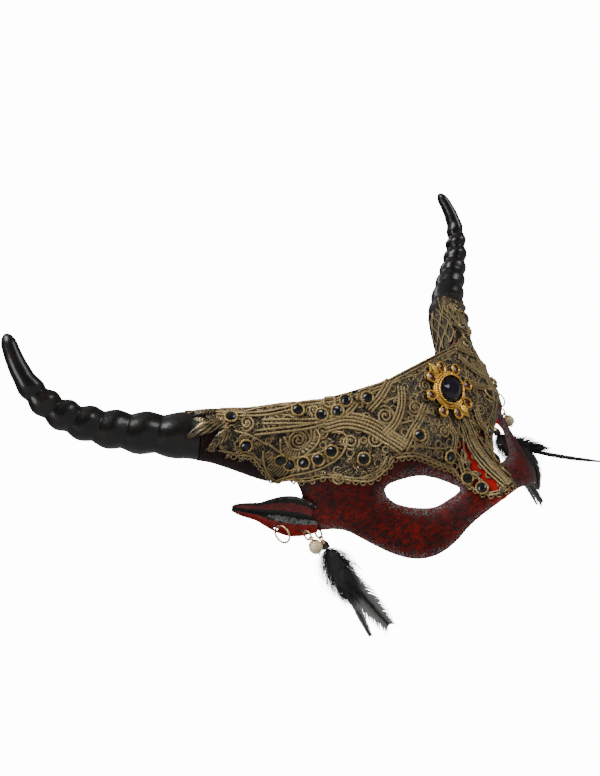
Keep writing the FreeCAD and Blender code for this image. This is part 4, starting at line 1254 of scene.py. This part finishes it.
class MASK_OT_tassels(bpy.types.Operator):
    """Feather tassels: down of curved barbs, three flat feathers with dark quills and a wound wire at the
    neck"""
    bl_idname, bl_label = "mask.tassels", "Tassels"

    def execute(self, context):
        down = feather("feather_down", (0.0035, 0.003, 0.0035), (0.016, 0.014, 0.016))
        grey = feather("feather_vane", (0.010, 0.0095, 0.010), (0.34, 0.33, 0.32))
        dark = feather("quill_dark", (0.004, 0.0035, 0.0035), (0.015, 0.013, 0.012))
        wire = metal("neck_wire", (0.10, 0.085, 0.07), (0.04, 0.03, 0.025), 0.3)
        for name, hand in SIDES.items():
            low, high = node_box("tassel_fluff_" + name)
            neck = np.array([(low[0] + high[0]) / 2, (low[1] + high[1]) / 2, high[2]])
            fan = unit(np.array([TASSEL_FAN[0] * hand, TASSEL_FAN[1], 0.0]))
            side = np.cross(fan, [0.0, 0.0, 1.0])
            self.down(name, hand, neck, fan, side, context.scene.mask_sizes.barbs, down)
            heap, quills = Heap(), Heap()
            for k, (lean, out, length, reach) in enumerate(FEATHERS):
                t = np.linspace(0, 1, 40)[:, None]
                quill = neck + fan * (lean * length * t ** 1.35) + side * out * t * 2 + PLUMB * length * t
                vane(heap, quill[10:], fan, reach, 64, 0.5, 0.8 * out, 3 + k + (hand > 0) * 7)
                quills.tube(quill, 0.42 * (1 - 0.75 * t[:, 0]), side, 7)
            rides(heap.build("feathers_" + name, grey), "tassel_" + name, "feather_quill",
                  "tassel_quills_" + name)
            rides(quills.build("feather_quills_" + name, dark), "tassel_" + name, "feather_quill")
            turn = np.linspace(0, 2 * math.pi * 7, 150)
            top = neck + np.array([0, 0, 3.0])
            helix = top + np.stack([1.85 * np.cos(turn), 1.85 * np.sin(turn), -0.42 * turn / math.pi / 2], -1)
            coil_heap = Heap()
            coil_heap.tube(helix, 0.27, np.array([0.0, 0, 1]), 6)
            rides(coil_heap.build("neck_wire_" + name, wire), "tassel_" + name, "feather_quill")
            if hand > 0:
                self.spread(neck, down, grey, dark)
                t = np.linspace(0, 1, 50)[:, None]
                sag = 1.76 * np.sin(math.pi * t)
                path = neck + PLUMB * 6 + unit(LONG_QUILL) * LONG_QUILL_LENGTH * t + PLUMB * sag
                long_quill = Heap()
                long_quill.tube(path, 1.0 - 0.6 * t[:, 0], side, 8)
                vane(long_quill, path[10:], BESIDE_QUILL, 1.9, 90, 0.4, 0.2, 17)
                rides(long_quill.build("long_quill_left", dark), "tassel_left", "feather_quill",
                      "tassel_long_quill_left")
        return {"FINISHED"}

    @staticmethod
    def spread(neck, down, grey, dark):
        """Left tassel only: down along the first part of the long quill, and a curved feather that hangs
        from it."""
        random = np.random.default_rng(41)
        ahead = unit(LONG_QUILL)
        first = unit(np.cross(ahead, [0.0, 0.0, 1.0]))
        second = np.cross(ahead, first)
        count = 1300
        share, turn = random.uniform(0, 1, count), random.uniform(0, 2 * math.pi, count)
        out = first * np.cos(turn)[:, None] + second * np.sin(turn)[:, None]
        reach = (5.2 * np.sin(math.pi * (0.25 + 0.72 * share)) + 0.8) * random.uniform(0.4, 1.1, count)
        u = np.linspace(0, 1, 8)[None, :, None]
        start = neck + PLUMB * 4
        paths = (start + ahead * (share * 21)[:, None])[:, None] + out[:, None] * reach[:, None, None] * (
            1 - (1 - u) ** 1.6) + ahead * (random.uniform(3, 9, count)[:, None, None] * u ** 1.3)
        sideways = np.cross(out, ahead)
        heap = Heap()
        width = 0.2 * (1 - 0.6 * u[..., 0]) + 0 * paths[..., 0]
        ribbons(heap, paths, np.broadcast_to(sideways[:, None], paths.shape), width, u[..., 0])
        rides(heap.build("down_spread_left", down), "tassel_left", "feather_down")
        t = np.linspace(0, 1, 36)[:, None]
        bow = 5.5 * t * t - 2.25 * np.sin(math.pi * t)
        quill = start + ahead * 11 + PLUMB * 27 * t - BESIDE_QUILL * bow + ahead * 2 * t
        vanes, shaft = Heap(), Heap()
        vane(vanes, quill[5:], BESIDE_QUILL, 4.0, 50, 0.5, 0.6, 23)
        shaft.tube(quill, 0.6 * (1 - 0.7 * t[:, 0]), np.array([0.664, 0.748, 0.0]), 7)
        rides(vanes.build("curved_feather_left", grey), "tassel_left", "feather_quill")
        rides(shaft.build("curved_shaft_left", dark), "tassel_left", "feather_quill")

    @staticmethod
    def down(name, hand, neck, fan, side, count, material):
        """Down: each barb leaves the core at a random height and turn, opens outwards and falls; the left
        core leans."""
        random = np.random.default_rng(21 + (hand > 0))
        start = random.uniform(0, 1, count) ** 0.9
        turn = random.uniform(0, 2 * math.pi, count)
        out = fan * np.cos(turn)[:, None] + side * np.sin(turn)[:, None] * 0.85
        uneven = random.uniform(0.45, 1.1, count)
        reach = (3.6 + 6.4 * np.sin(math.pi * np.clip(start * 0.8 + 0.18, 0, 1))) * uneven
        fall = random.uniform(4.5, 12.5, count) * (0.6 + 0.4 * start)
        u = np.linspace(0, 1, 8)[None, :, None]
        base = neck + (LEFT_CORE if hand > 0 else PLUMB) * (start * DOWN_LENGTH)[:, None]
        base = base + out * 0.6
        wave = 0.7 * np.sin(u * random.uniform(3, 7, count)[:, None, None] + turn[:, None, None])
        sideways = np.cross(out, [0.0, 0.0, 1.0])
        paths = (base[:, None] + out[:, None] * reach[:, None, None] * (1 - (1 - u) ** 1.7)
                 + PLUMB * fall[:, None, None] * u ** 1.5 + sideways[:, None] * wave * u)
        width = 0.2 * (1 - 0.6 * u[..., 0]) + 0 * paths[..., 0]
        heap = Heap()
        ribbons(heap, paths, np.broadcast_to(sideways[:, None], paths.shape), width, u[..., 0])
        rides(heap.build("down_" + name, material), "tassel_" + name, "feather_down", "tassel_fluff_" + name)


class MASK_OT_stage(bpy.types.Operator):
    """Pale floor and backdrop, soft lights and the camera"""
    bl_idname, bl_label = "mask.stage", "Stage"

    def execute(self, context):
        f = Finish("stage_paper")
        grain = f.noise(6, 2, 0.5)
        paper = f.set(Base_Color=f.mix(grain, (0.40, 0.40, 0.40), (0.43, 0.43, 0.43)), Roughness=0.9)
        seen = f.node("ShaderNodeLightPath", {}, {}, "Is Camera Ray")
        glow = f.node("ShaderNodeEmission", {}, {"Color": (1, 1, 1, 1), "Strength": BACKDROP_GLOW},
                      "Emission")
        end = f.node("ShaderNodeMixShader", {}, {0: seen, 1: Wire(f, f.shader.outputs[0]), 2: glow}, "Shader")
        f.tree.links.new(end.socket, f.tree.nodes["Material Output"].inputs["Surface"])
        floor_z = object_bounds()[0].z / MM - FLOOR_DROP
        line = through(BACKDROP, 60)
        turn = np.linspace(0, 2 * math.pi, 96, endpoint=False)[None, :]
        rise = line[:, 1:] + floor_z + 0 * turn
        bowl = np.stack([line[:, :1] * np.cos(turn), line[:, :1] * np.sin(turn), rise], -1)
        heap = Heap()
        heap.grid(bowl, wrap=(False, True), flip=True)
        heap.build("paper_bowl", paper, recalc=True)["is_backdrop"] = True
        world = bpy.data.worlds.new("studio")
        context.scene.world = world
        world.use_nodes = True
        world.node_tree.nodes["Background"].inputs["Color"].default_value = (0.95, 0.97, 1, 1)
        world.node_tree.nodes["Background"].inputs["Strength"].default_value = WORLD_LIGHT
        for name, place, size, power in LAMPS:
            light = bpy.data.lights.new(name, "AREA")
            light.size, light.energy = size, power
            obj = bpy.data.objects.new(name, light)
            obj.location = place
            obj.rotation_euler = (Vector(LAMPS_AIM) - Vector(place)).to_track_quat("-Z", "Y").to_euler()
            context.scene.collection.objects.link(obj)
        lens = bpy.data.cameras.new("camera")
        lens.lens, lens.sensor_width = CAMERA_LENS, 36
        lens.clip_start = 0.01
        camera = bpy.data.objects.new("camera", lens)
        ahead = Vector(CAMERA_AHEAD).normalized()
        right = ahead.cross(Vector((0, 0, 1))).normalized()
        up = right.cross(ahead)
        c, s = math.cos(CAMERA_ROLL), math.sin(CAMERA_ROLL)
        right, up = right * c + up * s, up * c - right * s
        turn = Matrix((right, up, -ahead)).transposed().to_4x4()
        camera.matrix_world = Matrix.Translation(CAMERA_PLACE) @ turn
        context.scene.collection.objects.link(camera)
        context.scene.camera = camera
        return {"FINISHED"}


PIECES = (MASK_OT_shell, MASK_OT_horns, MASK_OT_ears, MASK_OT_lace, MASK_OT_stones, MASK_OT_medallion,
          MASK_OT_ear_drops, MASK_OT_tassels, MASK_OT_stage)


class MASK_PT_panel(bpy.types.Panel):
    """Lists the mask's sizes, colours and pieces"""
    bl_idname, bl_label = "MASK_PT_panel", "Horned Mask"
    bl_space_type, bl_region_type, bl_category = "VIEW_3D", "UI", "Mask"

    def draw(self, context):
        for group in (context.scene.mask_sizes, context.scene.mask_colours):
            for name in group.__annotations__:
                self.layout.prop(group, name)
        for piece in PIECES:
            self.layout.operator(piece.bl_idname)


CLASSES = (MaskSizes, MaskColours, *PIECES, MASK_PT_panel)


def register():
    """Registers the classes and hangs the settings on the scene."""
    for entry in CLASSES:
        bpy.utils.register_class(entry)
    bpy.types.Scene.mask_sizes = PointerProperty(type=MaskSizes)
    bpy.types.Scene.mask_colours = PointerProperty(type=MaskColours)


def unregister():
    """Takes the settings and classes away again."""
    del bpy.types.Scene.mask_sizes, bpy.types.Scene.mask_colours
    for entry in reversed(CLASSES):
        bpy.utils.unregister_class(entry)


def main():
    """Registers the classes and builds every piece in order."""
    register()
    for piece in PIECES:
        group, name = piece.bl_idname.split(".")
        getattr(getattr(bpy.ops, group), name)()


if __name__ == "__main__":
    main()
